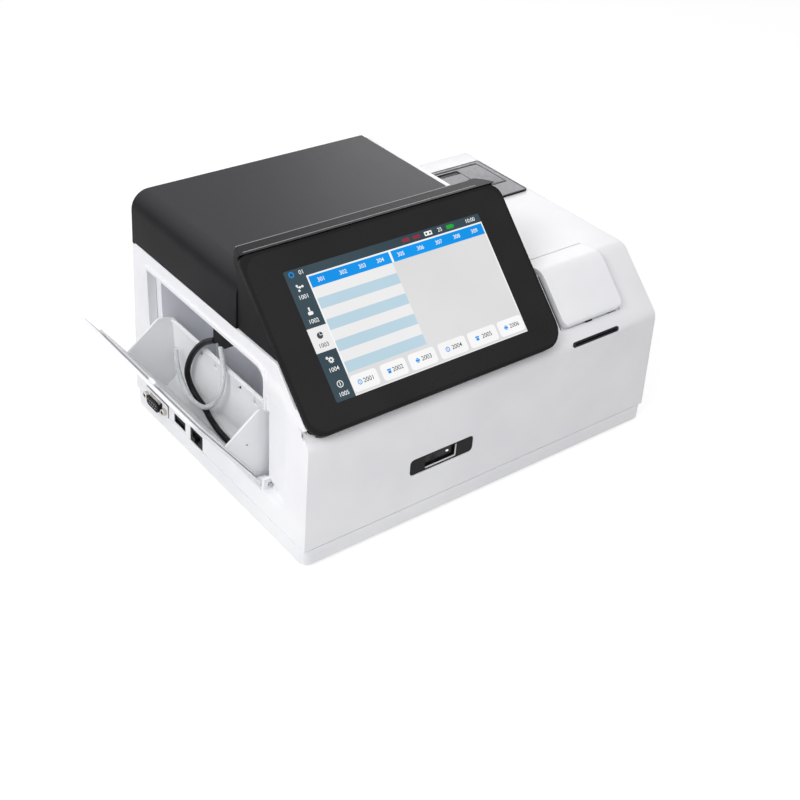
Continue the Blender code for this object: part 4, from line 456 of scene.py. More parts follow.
def rounded_outline(half: np.ndarray, radius: np.ndarray, steps: int = 5) -> np.ndarray:
    """Points round rounded rectangles: at angle a, a corner's centre plus radius times (cos a, sin a).

    Args:
        half: Half width and half height, shape (n, 2).
        radius: Corner radius of each, shape (n,).
        steps: Chords in each corner.

    Returns:
        Points of shape (n, 4 * (steps + 1), 2), anticlockwise.
    """
    quarter = np.linspace(0, math.pi / 2, steps + 1)
    angle = np.arange(4)[:, None] * math.pi / 2 + quarter[None, :]
    corner = np.array([(1, 1), (-1, 1), (-1, -1), (1, -1)], float)
    centre = corner[None] * (half - radius[:, None])[:, None, :]
    arc = np.stack([np.cos(angle), np.sin(angle)], -1)[None] * radius[:, None, None, None]
    return (centre[:, :, None, :] + arc).reshape(len(half), -1, 2)


class Shells:
    """Closed shells of points on grids, gathered into one mesh."""

    def __init__(self) -> None:
        """Starts with no points."""
        self.points: list[np.ndarray] = []
        self.faces: list[list[int]] = []
        self.count = 0

    def grid(self, points: np.ndarray, round_rows: bool = False) -> None:
        """Adds a grid of points whose columns close on themselves, as quads between neighbours.

        Args:
            points: Shape (rows, columns, 3), in the row's frame.
            round_rows: Whether the last row joins the first, as on a ring.
        """
        rows, columns = points.shape[:2]
        row, column = np.meshgrid(np.arange(rows - (not round_rows)), np.arange(columns), indexing="ij")
        here = row * columns
        beyond = (row + 1) % rows * columns
        beside = (column + 1) % columns
        quads = np.stack([here + column, here + beside, beyond + beside, beyond + column], axis=-1)
        self.faces += (quads.reshape(-1, 4) + self.count).tolist()
        self.points.append(points.reshape(-1, 3))
        self.count += rows * columns

    def slab(
        self,
        place: Place,
        centre: tuple[float, float],
        half: tuple[float, float],
        radius: float,
        low: float,
        high: float,
        edge: float = 0.0,
        steps: int = 5,
    ) -> None:
        """Adds a closed plate. Its rows run from the middle of the underside, out round the lower
        edge, up the side, in over the rounded upper edge and to the middle of the top; each row is
        the outline drawn in by an inset, and an edge of radius e has inset e - e cos a at e sin a.

        Args:
            place: Frame that the plate lies in.
            centre: Its middle, across and along.
            half: Half its width and height.
            radius: Radius of its corners.
            low: Height of its underside.
            high: Height of its top.
            edge: Radius of its upper edge, and of its lower one.
            steps: Chords in each corner.
        """
        turn = np.linspace(0, math.pi / 2, 4 if edge else 1)
        inset = edge * (1 - np.cos(turn))
        rise = edge * (1 - np.sin(turn))
        heights = np.concatenate([[low], (low + rise)[::-1], high - rise, [high]])
        insets = np.concatenate([[0.0], inset[::-1], inset, [0.0]])
        share = np.ones(len(heights))
        share[[0, -1]] = 0
        size = (np.array(half)[None] - insets[:, None]) * share[:, None]
        corner = np.clip(radius - insets, edge * 0.1 + MERGE * 10, None) * share
        flat = rounded_outline(size, np.minimum(corner, size.min(1)), steps) + np.array(centre)
        level = np.broadcast_to(heights[:, None, None], (*flat.shape[:2], 1))
        self.grid(place.put(np.concatenate([flat, level], -1)))

    def patch(
        self,
        place: Place,
        sides: tuple[float, float, float, float],
        radius: float,
        low: float,
        high: float,
        edge: float = 0.0,
        steps: int = 5,
    ) -> None:
        """Adds a slab given by its sides: its middle is half their sum, its half size half their gap.

        Args:
            place: Frame that it lies in.
            sides: Its left, right, near and far side.
            radius: Radius of its corners.
            low: Height of its underside.
            high: Height of its top.
            edge: Radius of its upper edge, and of its lower one.
            steps: Chords in each corner.
        """
        left, right, near, far = sides
        centre = ((left + right) / 2, (near + far) / 2)
        half = ((right - left) / 2, (far - near) / 2)
        self.slab(place, centre, half, radius, low, high, edge, steps)

    def frame(
        self,
        place: Place,
        centre: tuple[float, float],
        outer: tuple[float, float],
        inner: tuple[float, float],
        radius: float,
        low: float,
        high: float,
    ) -> None:
        """Adds a flat frame: the outline of its outside at low and high, then that of its window at
        high and low, each joined to the next and the last to the first.

        Args:
            place: Frame of reference that it lies in.
            centre: Its middle, across and along.
            outer: Half its width and height.
            inner: Half the window's width and height.
            radius: Radius of the outer corners; the window's are that less the rim, or a tenth.
            low: Height of its underside.
            high: Height of its top.
        """
        size = np.array([outer, outer, inner, inner], float)
        inside = max(radius - (outer[0] - inner[0]), radius / 10)
        flat = rounded_outline(size, np.array([radius, radius, inside, inside])) + np.array(centre)
        level = np.array([low, high, high, low])[:, None, None] + np.zeros((*flat.shape[:2], 1))
        self.grid(place.put(np.concatenate([flat, level], -1)), round_rows=True)

    def skin(self, front: np.ndarray, back: np.ndarray) -> None:
        """Adds a closed skin: each row runs along the front and comes home along the back, and the
        first and last rows are drawn together to the line half-way between the two.

        Args:
            front: Outer points, shape (rows, columns, 3), in the row's frame.
            back: Inner points, in the same shape.
        """
        middle = (front + back) / 2
        ends = [np.concatenate([line, line[::-1]])[None] for line in (middle[0], middle[-1])]
        body = np.concatenate([front, back[:, ::-1]], 1)
        self.grid(np.concatenate([ends[0], body, ends[1]]))

    def lathe(
        self,
        place: Place,
        centre: tuple[float, float],
        profile: list[tuple[float, float]],
        steps: int = 24,
        squared: float = 0.0,
    ) -> None:
        """Adds a turned shape: each (radius, height) of the profile carried round the outward axis.
        The point at angle a stands at radius times (cos a, sin a); squared draws the radius in by
        that share, times how near a is to the middle of one of six sides, for a hexagon.

        Args:
            place: Frame whose outward axis is the turning axis.
            centre: The axis, across and along.
            profile: Radius and height pairs; the ends are closed at radius 0.
            steps: Points round the turn.
            squared: 0 for a round shape, 1 for six flat sides.
        """
        angle = np.arange(steps) * 2 * math.pi / steps
        flat = math.cos(math.pi / 6) / np.cos((angle + math.pi / 6) % (math.pi / 3) - math.pi / 6)
        round_share = 1 + squared * (flat - 1)
        ends = np.array([(0.0, profile[0][1]), *profile, (0.0, profile[-1][1])], float)
        x = centre[0] + ends[:, :1] * np.cos(angle) * round_share
        y = centre[1] + ends[:, :1] * np.sin(angle) * round_share
        z = np.broadcast_to(ends[:, 1:], x.shape)
        self.grid(place.put(np.stack([x, y, z], -1)))

    def ring(
        self,
        place: Place,
        centre: tuple[float, float],
        inner: float,
        outer: float,
        low: float,
        high: float,
        sweep: float = 2 * math.pi,
        start: float = 0.0,
        steps: int = 24,
    ) -> None:
        """Adds a flat ring, or an arc of one: a rectangle from inner to outer and low to high,
        carried through the angles from start to start plus sweep.

        Args:
            place: Frame that it lies in.
            centre: Its middle, across and along.
            inner: Inner radius.
            outer: Outer radius.
            low: Height of its underside.
            high: Height of its top.
            sweep: Angle that it covers.
            start: Angle that it starts at.
            steps: Chords round it.
        """
        whole = sweep >= 2 * math.pi - MERGE
        angle = start + np.linspace(0, sweep, steps + 1)[: steps if whole else None, None]
        radius = np.array([inner, outer, outer, inner])[None]
        if not whole:
            angle = np.concatenate([angle[:1], angle, angle[-1:]])
            radius = np.repeat(radius, len(angle), 0)
            radius[[0, -1]] = (inner + outer) / 2
        height = np.broadcast_to(np.array([low, low, high, high])[None], (len(angle), 4)).copy()
        if not whole:
            height[[0, -1]] = (low + high) / 2
        x = centre[0] + radius * np.cos(angle)
        y = centre[1] + radius * np.sin(angle)
        self.grid(place.put(np.stack([x, y, height], -1)), round_rows=whole)

    def words(
        self, place: Place, centre: tuple[float, float], text: str, height: float, low: float, high: float
    ) -> None:
        """Adds plain numerals from Blender's own font, given thickness and laid in the frame.

        Args:
            place: Frame that they lie in.
            centre: Their middle, across and along.
            text: The numerals.
            height: Height of a numeral.
            low: Height of their underside.
            high: Height of their face.
        """
        curve = bpy.data.curves.new("numerals", "FONT")
        curve.body = text
        curve.align_x = "CENTER"
        curve.align_y = "CENTER"
        curve.extrude = 0.5
        curve.offset = STROKE_SHARE
        rough = bpy.data.objects.new("numerals", curve)
        bpy.context.scene.collection.objects.link(rough)
        bpy.context.view_layer.update()
        mesh = bpy.data.meshes.new_from_object(rough.evaluated_get(bpy.context.evaluated_depsgraph_get()))
        flat = np.empty(len(mesh.vertices) * 3, np.float32)
        mesh.vertices.foreach_get("co", flat)
        local = flat.reshape(-1, 3).astype(float)
        size = height / NUMERAL_SHARE
        local *= (size, size, high - low)
        local += (*centre, (low + high) / 2)
        self.faces += [[index + self.count for index in face.vertices] for face in mesh.polygons]
        self.points.append(place.put(local))
        self.count += len(local)
        bpy.data.objects.remove(rough)
        bpy.data.curves.remove(curve)
        bpy.data.meshes.remove(mesh)

    def make(self, name: str, finish: Finish, body: Body, sharp: float = 38.0) -> bpy.types.Object:
        """Turns what was gathered into one object that rides on a body.

        Args:
            name: Name of the piece.
            finish: What it is made of.
            body: The body that it moves with.
            sharp: Edges over this many degrees stay sharp.

        Returns:
            The new object.
        """
        mesh = bpy.data.meshes.new(name)
        mesh.from_pydata(np.concatenate(self.points).tolist(), [], self.faces)
        cage = bmesh.new()
        cage.from_mesh(mesh)
        bmesh.ops.remove_doubles(cage, verts=cage.verts, dist=MERGE)
        bmesh.ops.dissolve_degenerate(cage, edges=cage.edges, dist=MERGE / 2)
        bmesh.ops.recalc_face_normals(cage, faces=cage.faces)
        cage.to_mesh(mesh)
        cage.free()
        mesh.materials.append(finish.make())
        mesh.shade_smooth()
        mesh.set_sharp_from_angle(angle=math.radians(sharp))
        made = bpy.data.objects.new(name, mesh)
        bpy.context.scene.collection.objects.link(made)
        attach(made, body.value)
        LOG.info("%s: %d faces on %s", name, len(mesh.polygons), body.value)
        return made


# Studio


@dataclass(frozen=True)
class SoftBox:
    """A square lamp that faces the middle of the object."""

    name: str
    where: tuple[float, float, float]
    size: float
    power: float
    shine_only: bool = False

    def build(self) -> None:
        """Adds the lamp; one that is shine_only is seen in glossy faces and lights nothing else."""
        data = bpy.data.lights.new(self.name, "AREA")
        data.size = self.size
        data.energy = self.power
        made = bpy.data.objects.new(self.name, data)
        bpy.context.scene.collection.objects.link(made)
        spot = Matrix.Translation(self.where)
        made.matrix_world = spot @ spot.to_translation().to_track_quat("Z", "Y").to_matrix().to_4x4()
        made.visible_diffuse = not self.shine_only


TOP_LAMP = SoftBox(name="top_lamp", where=(-0.20, -0.20, 1.75), size=1.0, power=5.4)
LEFT_LAMP = SoftBox(name="left_lamp", where=(-1.20, -0.30, 1.10), size=0.8, power=13.2)
FRONT_LAMP = SoftBox(name="front_lamp", where=(0.45, -1.05, 1.25), size=1.0, power=1.9)
BACK_LAMP = SoftBox(name="back_lamp", where=(1.05, 1.00, 0.80), size=0.7, power=8.0, shine_only=True)


@dataclass(frozen=True)
class Studio:
    """Camera at the photograph's place, soft lamps, a white world and a white floor."""

    eye: tuple[float, float, float] = (-0.3412, -0.4890, 0.5446)
    rightward: tuple[float, float, float] = (0.79236, -0.60697, 0.06127)
    downward: tuple[float, float, float] = (-0.30776, -0.48443, -0.81891)
    forward: tuple[float, float, float] = (0.52673, 0.63001, -0.57064)
    focal_share: float = 1287.5 / 800
    sensor_mm: float = 36.0
    world_strength: float = 0.49
    near: float = 0.01
    floor_size: float = 6.0
    floor_colour: str = "#E6E6E6"
    floor_dim: str = "#B0B0B0"
    floor_glow: float = 0.70

    def build(self) -> None:
        """Makes the camera, the world, the lamps and the floor, with colours shown as they are."""
        bpy.context.scene.view_settings.view_transform = "Standard"
        self.camera()
        self.world()
        for lamp in (TOP_LAMP, LEFT_LAMP, FRONT_LAMP, BACK_LAMP):
            lamp.build()
        self.floor()

    def camera(self) -> None:
        """Places the camera from its three measured directions."""
        data = bpy.data.cameras.new("camera")
        data.sensor_width = self.sensor_mm
        data.lens = self.focal_share * self.sensor_mm
        data.clip_start = self.near
        made = bpy.data.objects.new("camera", data)
        bpy.context.scene.collection.objects.link(made)
        axes = np.array([self.rightward, np.negative(self.downward), np.negative(self.forward)])
        matrix = np.eye(4)
        matrix[:3, :3] = axes.T
        matrix[:3, 3] = CASE + np.array(self.eye)
        made.matrix_world = Matrix(matrix.tolist())
        bpy.context.scene.camera = made

    def world(self) -> None:
        """Soft light from all round, and white where a straight, mirrored or refracted ray meets it."""
        made = bpy.data.worlds.new("studio")
        made.use_nodes = True
        tree = made.node_tree
        seen = self.seen(tree)
        strength = add_node(
            tree, "ShaderNodeMapRange", Value=seen, s1=0.0, s2=1.0, s3=self.world_strength, s4=1.0
        ).outputs[0]
        back = tree.nodes["Background"]
        back.inputs["Color"].default_value = (1, 1, 1, 1)
        tree.links.new(strength, back.inputs["Strength"])
        bpy.context.scene.world = made

    @staticmethod
    def seen(tree: bpy.types.NodeTree) -> bpy.types.NodeSocket:
        """1 for camera, glossy and transmission rays, and 0 for the light that falls on things.

        Args:
            tree: The tree it goes into.

        Returns:
            The share.
        """
        path = add_node(tree, "ShaderNodeLightPath").outputs
        share = path["Is Camera Ray"]
        for ray in ("Is Glossy Ray", "Is Transmission Ray"):
            share = add_node(tree, "ShaderNodeMath", operation="MAXIMUM", s0=share, s1=path[ray]).outputs[0]
        return share

    def floor(self) -> None:
        """A white floor: shining a little to the camera so that it stays white, yet dimmed by shadow."""
        half = self.floor_size / 2
        mesh = bpy.data.meshes.new("floor")
        corners = [(-half, -half, 0), (half, -half, 0), (half, half, 0), (-half, half, 0)]
        mesh.from_pydata(corners, [], [(0, 1, 2, 3)])
        made = bpy.data.objects.new("floor", mesh)
        bpy.context.scene.collection.objects.link(made)
        paint = bpy.data.materials.new("white_floor")
        paint.use_nodes = True
        tree = paint.node_tree
        tree.nodes.clear()
        plain = add_node(tree, "ShaderNodeBsdfDiffuse", Color=linear(self.floor_colour))
        dim = add_node(tree, "ShaderNodeBsdfDiffuse", Color=linear(self.floor_dim))
        glow = add_node(tree, "ShaderNodeEmission", Strength=self.floor_glow)
        shown = add_node(tree, "ShaderNodeAddShader", s0=dim.outputs[0], s1=glow.outputs[0])
        mixed = add_node(
            tree, "ShaderNodeMixShader", s0=self.seen(tree), s1=plain.outputs[0], s2=shown.outputs[0]
        )
        add_node(tree, "ShaderNodeOutputMaterial", Surface=mixed.outputs[0])
        mesh.materials.append(paint)


# Hoses


@dataclass(frozen=True)
class Hose:
    """A free hose that hangs from its barb into the drawer's bin."""

    name: str
    node: str
    finish: Finish
    radius: float
    length: float
    route: tuple[tuple[float, float, float], ...]
    step: float = 0.0035

    def centreline(self) -> np.ndarray:
        """Points along the hose, a few millimetres apart.

        Between two points b and c of the route, with a before and d after, the point at t is half of
        2b + (c - a) t + (2a - 5b + 4c - d) t squared + (3b - a - 3c + d) t cubed.

        Returns:
            Points in the row's frame, shape (n, 3).
        """
        given = np.array(self.route)
        full = np.concatenate([given[:1] * 2 - given[1:2], given, given[-1:] * 2 - given[-2:-1]])
        a, b, c, d = full[:-3], full[1:-2], full[2:-1], full[3:]
        count = max(2, round(float(np.linalg.norm(c - b, axis=1).mean()) / self.step))
        t = (np.arange(1, count + 1) / count)[None, :, None]
        a, b, c, d = (points[:, None, :] for points in (a, b, c, d))
        bent = 2 * b + (c - a) * t + (2 * a - 5 * b + 4 * c - d) * t**2 + (3 * b - a - 3 * c + d) * t**3
        return CASE + np.concatenate([given[:1], (bent / 2).reshape(-1, 3)])

    def build(self) -> bpy.types.Object:
        """Returns:
            The hose.
        """
        line = self.centreline()
        curve = bpy.data.curves.new(self.name, "CURVE")
        curve.dimensions = "3D"
        curve.bevel_depth = self.radius
        curve.bevel_resolution = 5
        curve.use_fill_caps = True
        spline = curve.splines.new("POLY")
        spline.points.add(len(line) - 1)
        spline.points.foreach_set("co", np.column_stack([line, np.ones(len(line))]).ravel())
        spline.use_smooth = True
        curve.materials.append(self.finish.make())
        made = bpy.data.objects.new(self.name, curve)
        bpy.context.scene.collection.objects.link(made)
        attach(made, Body.CASE.value)
        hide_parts(self.node)
        measured = float(np.linalg.norm(np.diff(line, axis=0), axis=1).sum())
        LOG.info("%s: %.4f m along its line", self.name, measured)
        return made


BLACK_DRAIN = Hose(
    name="black_hose",
    node="black_tube",
    finish=BLACK_HOSE,
    radius=0.0021,
    length=0.1620,
    route=(
        (0.0107, 0.1202, 0.0987),
        (0.0104, 0.1252, 0.0956),
        (0.0101, 0.1334, 0.0899),
        (0.0100, 0.1430, 0.0804),
        (0.0099, 0.1511, 0.0692),
        (0.0098, 0.1562, 0.0580),
        (0.0102, 0.1572, 0.0500),
        (0.0109, 0.1536, 0.0423),
        (0.0113, 0.1460, 0.0376),
        (0.0107, 0.1355, 0.0353),
        (0.0086, 0.1240, 0.0338),
        (0.0072, 0.1100, 0.0327),
        (0.0070, 0.0920, 0.0324),
        (0.0070, 0.0660, 0.0324),
    ),
)
CLEAR_DRAIN = Hose(
    name="clear_hose",
    node="clear_tube",
    finish=SILICONE,
    radius=0.0017,
    length=0.1210,
    route=(
        (0.0108, 0.1136, 0.0980),
        (0.0107, 0.1130, 0.0946),
        (0.0103, 0.1109, 0.0886),
        (0.0098, 0.1090, 0.0810),
        (0.0092, 0.1092, 0.0710),
        (0.0086, 0.1136, 0.0590),
        (0.0078, 0.1210, 0.0485),
        (0.0070, 0.1310, 0.0412),
        (0.0068, 0.1420, 0.0384),
        (0.0067, 0.1520, 0.0398),
        (0.0071, 0.1610, 0.0464),
        (0.0075, 0.1665, 0.0560),
        (0.0080, 0.1685, 0.0670),
    ),
)


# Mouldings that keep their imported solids


@dataclass(frozen=True)
class Mouldings:
    """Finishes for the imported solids, and the small radii that a mould leaves on their edges."""

    edge: float = 0.00025
    smooth_below: float = 32.0
    flat_below: float = 0.5
    group_name: str = "merged_and_smoothed"
    rounded: tuple[str, ...] = (
        "main_housing", "base_pan", "cartridge_lid", "top_hood", "screen_housing", "screen_bezel",
        "drawer_bin", "drawer_door", "printer_body", "printer_cover", "printer_lever",
        "compartment_liner",
    )

    def finishes(self) -> dict[Finish, tuple[str, ...]]:
        """Which nodes each finish is for.

        Returns:
            The names of the nodes, by finish.
        """
        return {
            WHITE_ABS: ("base_pan", "main_housing", "cartridge_lid", "drawer_door"),
            INNER_ABS_PAINTED_LIGHTER: ("compartment_liner",),
            BLACK_ABS_WITH_PAINTED_TOP_LIGHT: ("top_hood",),
            BEZEL_ABS: ("screen_bezel", "screen_housing"),
            PRINTER_ABS: ("printer_body", "printer_cover", "printer_lever"),
            DARK_ABS_AND_PAINTED_SHADE: ("slot_trim", "cartridge_bay", "scanner_module"),
            BIN_PP: ("drawer_bin",),
            COVER_GLASS: ("display_glass",),
            SCANNER_GLASS: ("scanner_window",),
            NICKEL: ("serial_port", "display_module"),
            STEEL: (
                "lid_hinge_pin", "printer_cover_pin", "drawer_pin_front", "drawer_pin_rear", "carrier_motor",
            ),
            ALUMINIUM: ("cartridge_carrier", "incubator_block", "print_head"),
            SOCKET_PLASTIC_AND_PAINTED_SHADE: (
                "scanner_bezel", "usb_port", "network_port", "tube_fitting", "power_inlet",
                "switch_frame", "power_switch", "optical_module", "waste_pump",
            ),
            BOARD: ("main_board", "card_reader"),
            THERMAL_PAPER: ("paper_roll",),
            FOOT_RUBBER: ("platen_roller", "foot_1", "foot_2", "foot_3", "foot_4"),
        }

    def build(self) -> None:
        """Dresses each node, and rounds the edges of those that show."""
        group = self.group()
        for finish, names in self.finishes().items():
            for name in names:
                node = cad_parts[name]
                node.data.materials.clear()
                node.data.materials.append(finish.make())
                modifier = node.modifiers.new("Merged", "NODES")
                modifier.node_group = group
            LOG.info("%s on %s", finish.name, ", ".join(names))
        for name in self.rounded:
            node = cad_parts[name]
            flat = node.modifiers.new("Flat", "DECIMATE")
            flat.decimate_type = "DISSOLVE"
            flat.angle_limit = math.radians(self.flat_below)
            rounded = node.modifiers.new("Edge", "BEVEL")
            rounded.width = self.edge
            rounded.segments = 2
            rounded.limit_method = "ANGLE"
            rounded.angle_limit = math.radians(self.smooth_below)
            rounded.use_clamp_overlap = False
            rounded.harden_normals = True

    def group(self) -> bpy.types.NodeTree:
        """Nodes that merge a solid's loose triangles and smooth every edge flatter than a limit.

        Returns:
            The node group.
        """
        made = bpy.data.node_groups.new(self.group_name, "GeometryNodeTree")
        made.interface.new_socket("Geometry", in_out="INPUT", socket_type="NodeSocketGeometry")
        made.interface.new_socket("Geometry", in_out="OUTPUT", socket_type="NodeSocketGeometry")
        start = add_node(made, "NodeGroupInput")
        bare = add_node(made, "GeometryNodeRemoveAttribute", Geometry=start.outputs[0], Name="custom_normal")
        welded = add_node(made, "GeometryNodeMergeByDistance", Geometry=bare.outputs[0], Distance=MERGE)
        faces = add_node(made, "GeometryNodeSetShadeSmooth", Geometry=welded.outputs[0], Shade_Smooth=True)
        edges = add_node(
            made, "GeometryNodeSetShadeSmooth", domain="EDGE", Geometry=faces.outputs[0], Shade_Smooth=True
        )
        angle = add_node(made, "GeometryNodeInputMeshEdgeAngle")
        steep = add_node(
            made,
            "FunctionNodeCompare",
            data_type="FLOAT",
            operation="GREATER_THAN",
            s0=angle.outputs[0],
            s1=math.radians(self.smooth_below),
        )
        kept = add_node(
            made,
            "GeometryNodeSetShadeSmooth",
            domain="EDGE",
            Geometry=edges.outputs[0],
            Selection=steep.outputs[0],
            Shade_Smooth=False,
        )
        add_node(made, "NodeGroupOutput", Geometry=kept.outputs[0])
        return made


# Display


@dataclass(frozen=True)
class Sign:
    """A plain pictogram in shares of its size.

    bar_shares are x, y, half width, half height and corner of small plates. ring_shares are x, y, inner
    and outer radius, chords, start and sweep, the last two in quarter turns; a ring with no inner
    radius is a disc, and its hole is too small to see.
    """

    bar_shares: tuple[tuple[float, float, float, float, float], ...] = ()
    ring_shares: tuple[tuple[float, float, float, float, int, int, int], ...] = ()

    def add(self, shells: Shells, centre: tuple[float, float], size: float, low: float, high: float) -> None:
        """Adds the sign on the slope: every place is the centre plus the size times its share.

        Args:
            shells: What it goes into.
            centre: Its middle.
            size: Its size.
            low: Height of its underside.
            high: Height of its face.
        """
        for x, y, wide, tall, corner in self.bar_shares:
            spot = (centre[0] + size * x, centre[1] + size * y)
            shells.slab(ON_SLOPE, spot, (size * wide, size * tall), size * corner, low, high)
        for x, y, inner, outer, chords, start, sweep in self.ring_shares:
            spot = (centre[0] + size * x, centre[1] + size * y)
            turns = (sweep * math.pi / 2, start * math.pi / 2)
            shells.ring(ON_SLOPE, spot, size * inner or DISC_HOLE, size * outer, low, high, *turns, chords)


MENU_SIGNS = (
    # Four dots on a rod.
    Sign(
        ((0.1, 0.05, 0.8, 0.13, 0.1),),
        tuple((x, y, 0, 0.32, 12, 0, 4) for x, y in ((-0.7, 0.5), (0, 0), (0.8, 0.1), (-0.5, -0.8))),
    ),
    # A flask.
    Sign(((0, 0.55, 0.22, 0.5, 0.05), (0, -0.5, 0.75, 0.45, 0.35))),
    # A pie with one slice drawn out.
    Sign(ring_shares=((0, 0, 0, 0.85, 24, 1, 3), (0.14, 0.14, 0, 0.8, 8, 0, 1))),
    # A cog of eight teeth beside a small ring.
    Sign(
        ring_shares=(
            (0.25, -0.15, 0.3, 0.62, 20, 0, 4),
            (-0.7, 0.6, 0.12, 0.36, 14, 0, 4),
            *(
                (0.25 + 0.7 * math.cos(turn), -0.15 + 0.7 * math.sin(turn), 0, 0.16, 8, 0, 4)
                for turn in np.arange(8) * math.pi / 4
            ),
        ),
    ),
    # A stroke and a dot in a ring.
    Sign(((0, -0.12, 0.12, 0.32, 0.05),), ((0, 0, 0.72, 0.92, 24, 0, 4), (0, 0.42, 0, 0.15, 10, 0, 4))),
)
KEY_SIGNS = (
    # A stroke in a ring.
    Sign(((0, 0, 0.1, 0.35, 0.05),), ((0, 0, 0.55, 0.8, 24, 0, 4),)),
    # A lid over a box.
    Sign(((0, 0.45, 0.7, 0.22, 0.08), (0, -0.3, 0.55, 0.42, 0.1))),
    # A bar between two short ones.
    Sign(((0, 0, 0.75, 0.3, 0.1), (0, 0.55, 0.45, 0.15, 0.05), (0, -0.55, 0.45, 0.15, 0.05))),
)


@dataclass(frozen=True)
class Display:
    """The lit panel behind the cover glass: bar, side menu, two tables and a row of keys.

    Distances are along the slope from the knee and across from the foot of the left wall. The plates of
    the bar are their middle across, half width, half height and corner.
    """

    left: float = 0.0281
    right: float = 0.1798
    top: float = 0.0486
    bottom: float = -0.0351
    bar_height: float = 0.0058
    menu_width: float = 0.0139
    border: float = 0.0010
    table_split: float = 0.1037
    split_width: float = 0.0016
    header_height: float = 0.0073
    row_height: float = 0.00688
    row_count: int = 8
    column_shares: tuple[tuple[float, ...], ...] = ((0.13, 0.40, 0.64, 0.87), (0.09, 0.30, 0.50, 0.70, 0.90))
    chosen_entry: int = 2
    entry_sign_share: float = 0.36
    entry_numeral_share: float = 0.76
    key_height: float = 0.0104
    key_low: float = -0.0333
    key_corner: float = 0.0021
    key_sign_share: float = 0.30
    key_numeral_share: float = 0.64
    key_spans: tuple[tuple[float, float], ...] = (
        (0.0424, 0.0617),
        (0.0646, 0.0834),
        (0.0859, 0.1066),
        (0.1094, 0.1313),
        (0.1334, 0.1566),
        (0.1584, 0.1790),
    )
    bar_ring: tuple[float, float, float] = (0.0328, 0.0012, 0.0019)
    bar_numerals: tuple[tuple[float, str], ...] = ((0.0399, "01"), (0.1715, "10:00"), (0.1463, "25"))
    bar_mark: float = 0.1368
    bar_mark_half: tuple[float, float] = (0.0030, 0.0014)
    bar_mark_line: float = 0.0004
    red_plates: tuple[tuple[float, ...], ...] = (
        (0.1188, 0.0029, 0.0011, 0.0006),
        (0.1273, 0.0029, 0.0011, 0.0006),
    )
    green_plates: tuple[tuple[float, ...], ...] = (
        (0.1545, 0.0027, 0.0013, 0.0004),
        (0.1575, 0.0004, 0.0006, 0.0002),
    )
    film: float = 0.00004
    numeral: float = 0.0026
    key_numeral: float = 0.00286
    icon: float = 0.0024
    key_icon: float = 0.00204
    first_entry: int = 1001
    first_key: int = 2001
    first_column: int = 301

    def level(self, layer: int) -> tuple[float, float]:
        """Lower and upper height of one of the thin layers over the glass."""
        return BEZEL_OFFSET + self.film * (layer + 1), BEZEL_OFFSET + self.film * (layer + 2)

    def tile(
        self, shells: Shells, sides: tuple[float, float, float, float], layer: int, corner: float = 0.0
    ) -> None:
        """Adds one flat patch of light.

        Args:
            shells: What it goes into.
            sides: Its left, right, lower and upper side.
            layer: Which layer over the glass it is.
            corner: Radius of its corners.
        """
        shells.patch(ON_SLOPE, sides, corner or self.film, *self.level(layer), steps=4)

    def build(self) -> None:
        """Makes the panel from the back layer to the front one."""
        self.ground()
        self.tables()
        self.menu()
        self.keys()
        self.bar()

    def ground(self) -> None:
        """Slate back layer with rounded corners, and the pale working area over it."""
        shells = Shells()
        self.tile(shells, (self.left, self.right, self.bottom, self.top), 0, self.border)
        shells.make("display_back_layer", SLATE_LIGHT, Body.CASE)
        shells = Shells()
        edge = self.left + self.menu_width
        bar_low = self.top - self.bar_height
        self.tile(shells, (edge, self.right - self.film, self.bottom + self.film, bar_low), 1)
        shells.make("display_work_area", WHITE_LIGHT, Body.CASE)
        shells = Shells()
        table_top = bar_low - self.border - self.header_height
        low = table_top - self.row_height * self.row_count
        inset = self.border / 2
        self.tile(shells, (edge + inset, self.right - inset, self.bottom + inset, low), 2)
        inner = self.table_split - self.split_width / 2
        self.tile(shells, (inner, self.right - self.border, low, table_top), 2)
        shells.make("display_panel", PANEL_LIGHT, Body.CASE)

    def tables(self) -> None:
        """Two blue header bars with numerals, and the striped rows under the left one."""
        top = self.top - self.bar_height - self.border
        rows = top - self.header_height
        left = self.left + self.menu_width + self.border
        inner = self.table_split - self.split_width / 2
        outer = self.table_split + self.split_width / 2
        headers, numerals, pale, blue = Shells(), Shells(), Shells(), Shells()
        first = self.first_column
        spans = ((left, inner), (outer, self.right - self.border))
        for (start, end), shares in zip(spans, self.column_shares):
            self.tile(headers, (start, end, rows, top), 3)
            for step, share in enumerate(shares):
                spot = (start + (end - start) * share, top - self.header_height / 2)
                numerals.words(ON_SLOPE, spot, f"{first + step}", self.numeral, *self.level(4))
            first += len(shares)
        headers.make("display_headers", BLUE_LIGHT, Body.CASE)
        for index in range(self.row_count):
            high = rows - self.row_height * index
            self.tile(blue if index % 2 else pale, (left, inner, high - self.row_height, high), 3)
        pale.make("display_pale_rows", ROW_LIGHT, Body.CASE)
        blue.make("display_blue_rows", PALE_BLUE_LIGHT, Body.CASE)
        numerals.make("display_header_numerals", WHITE_LIGHT, Body.CASE)

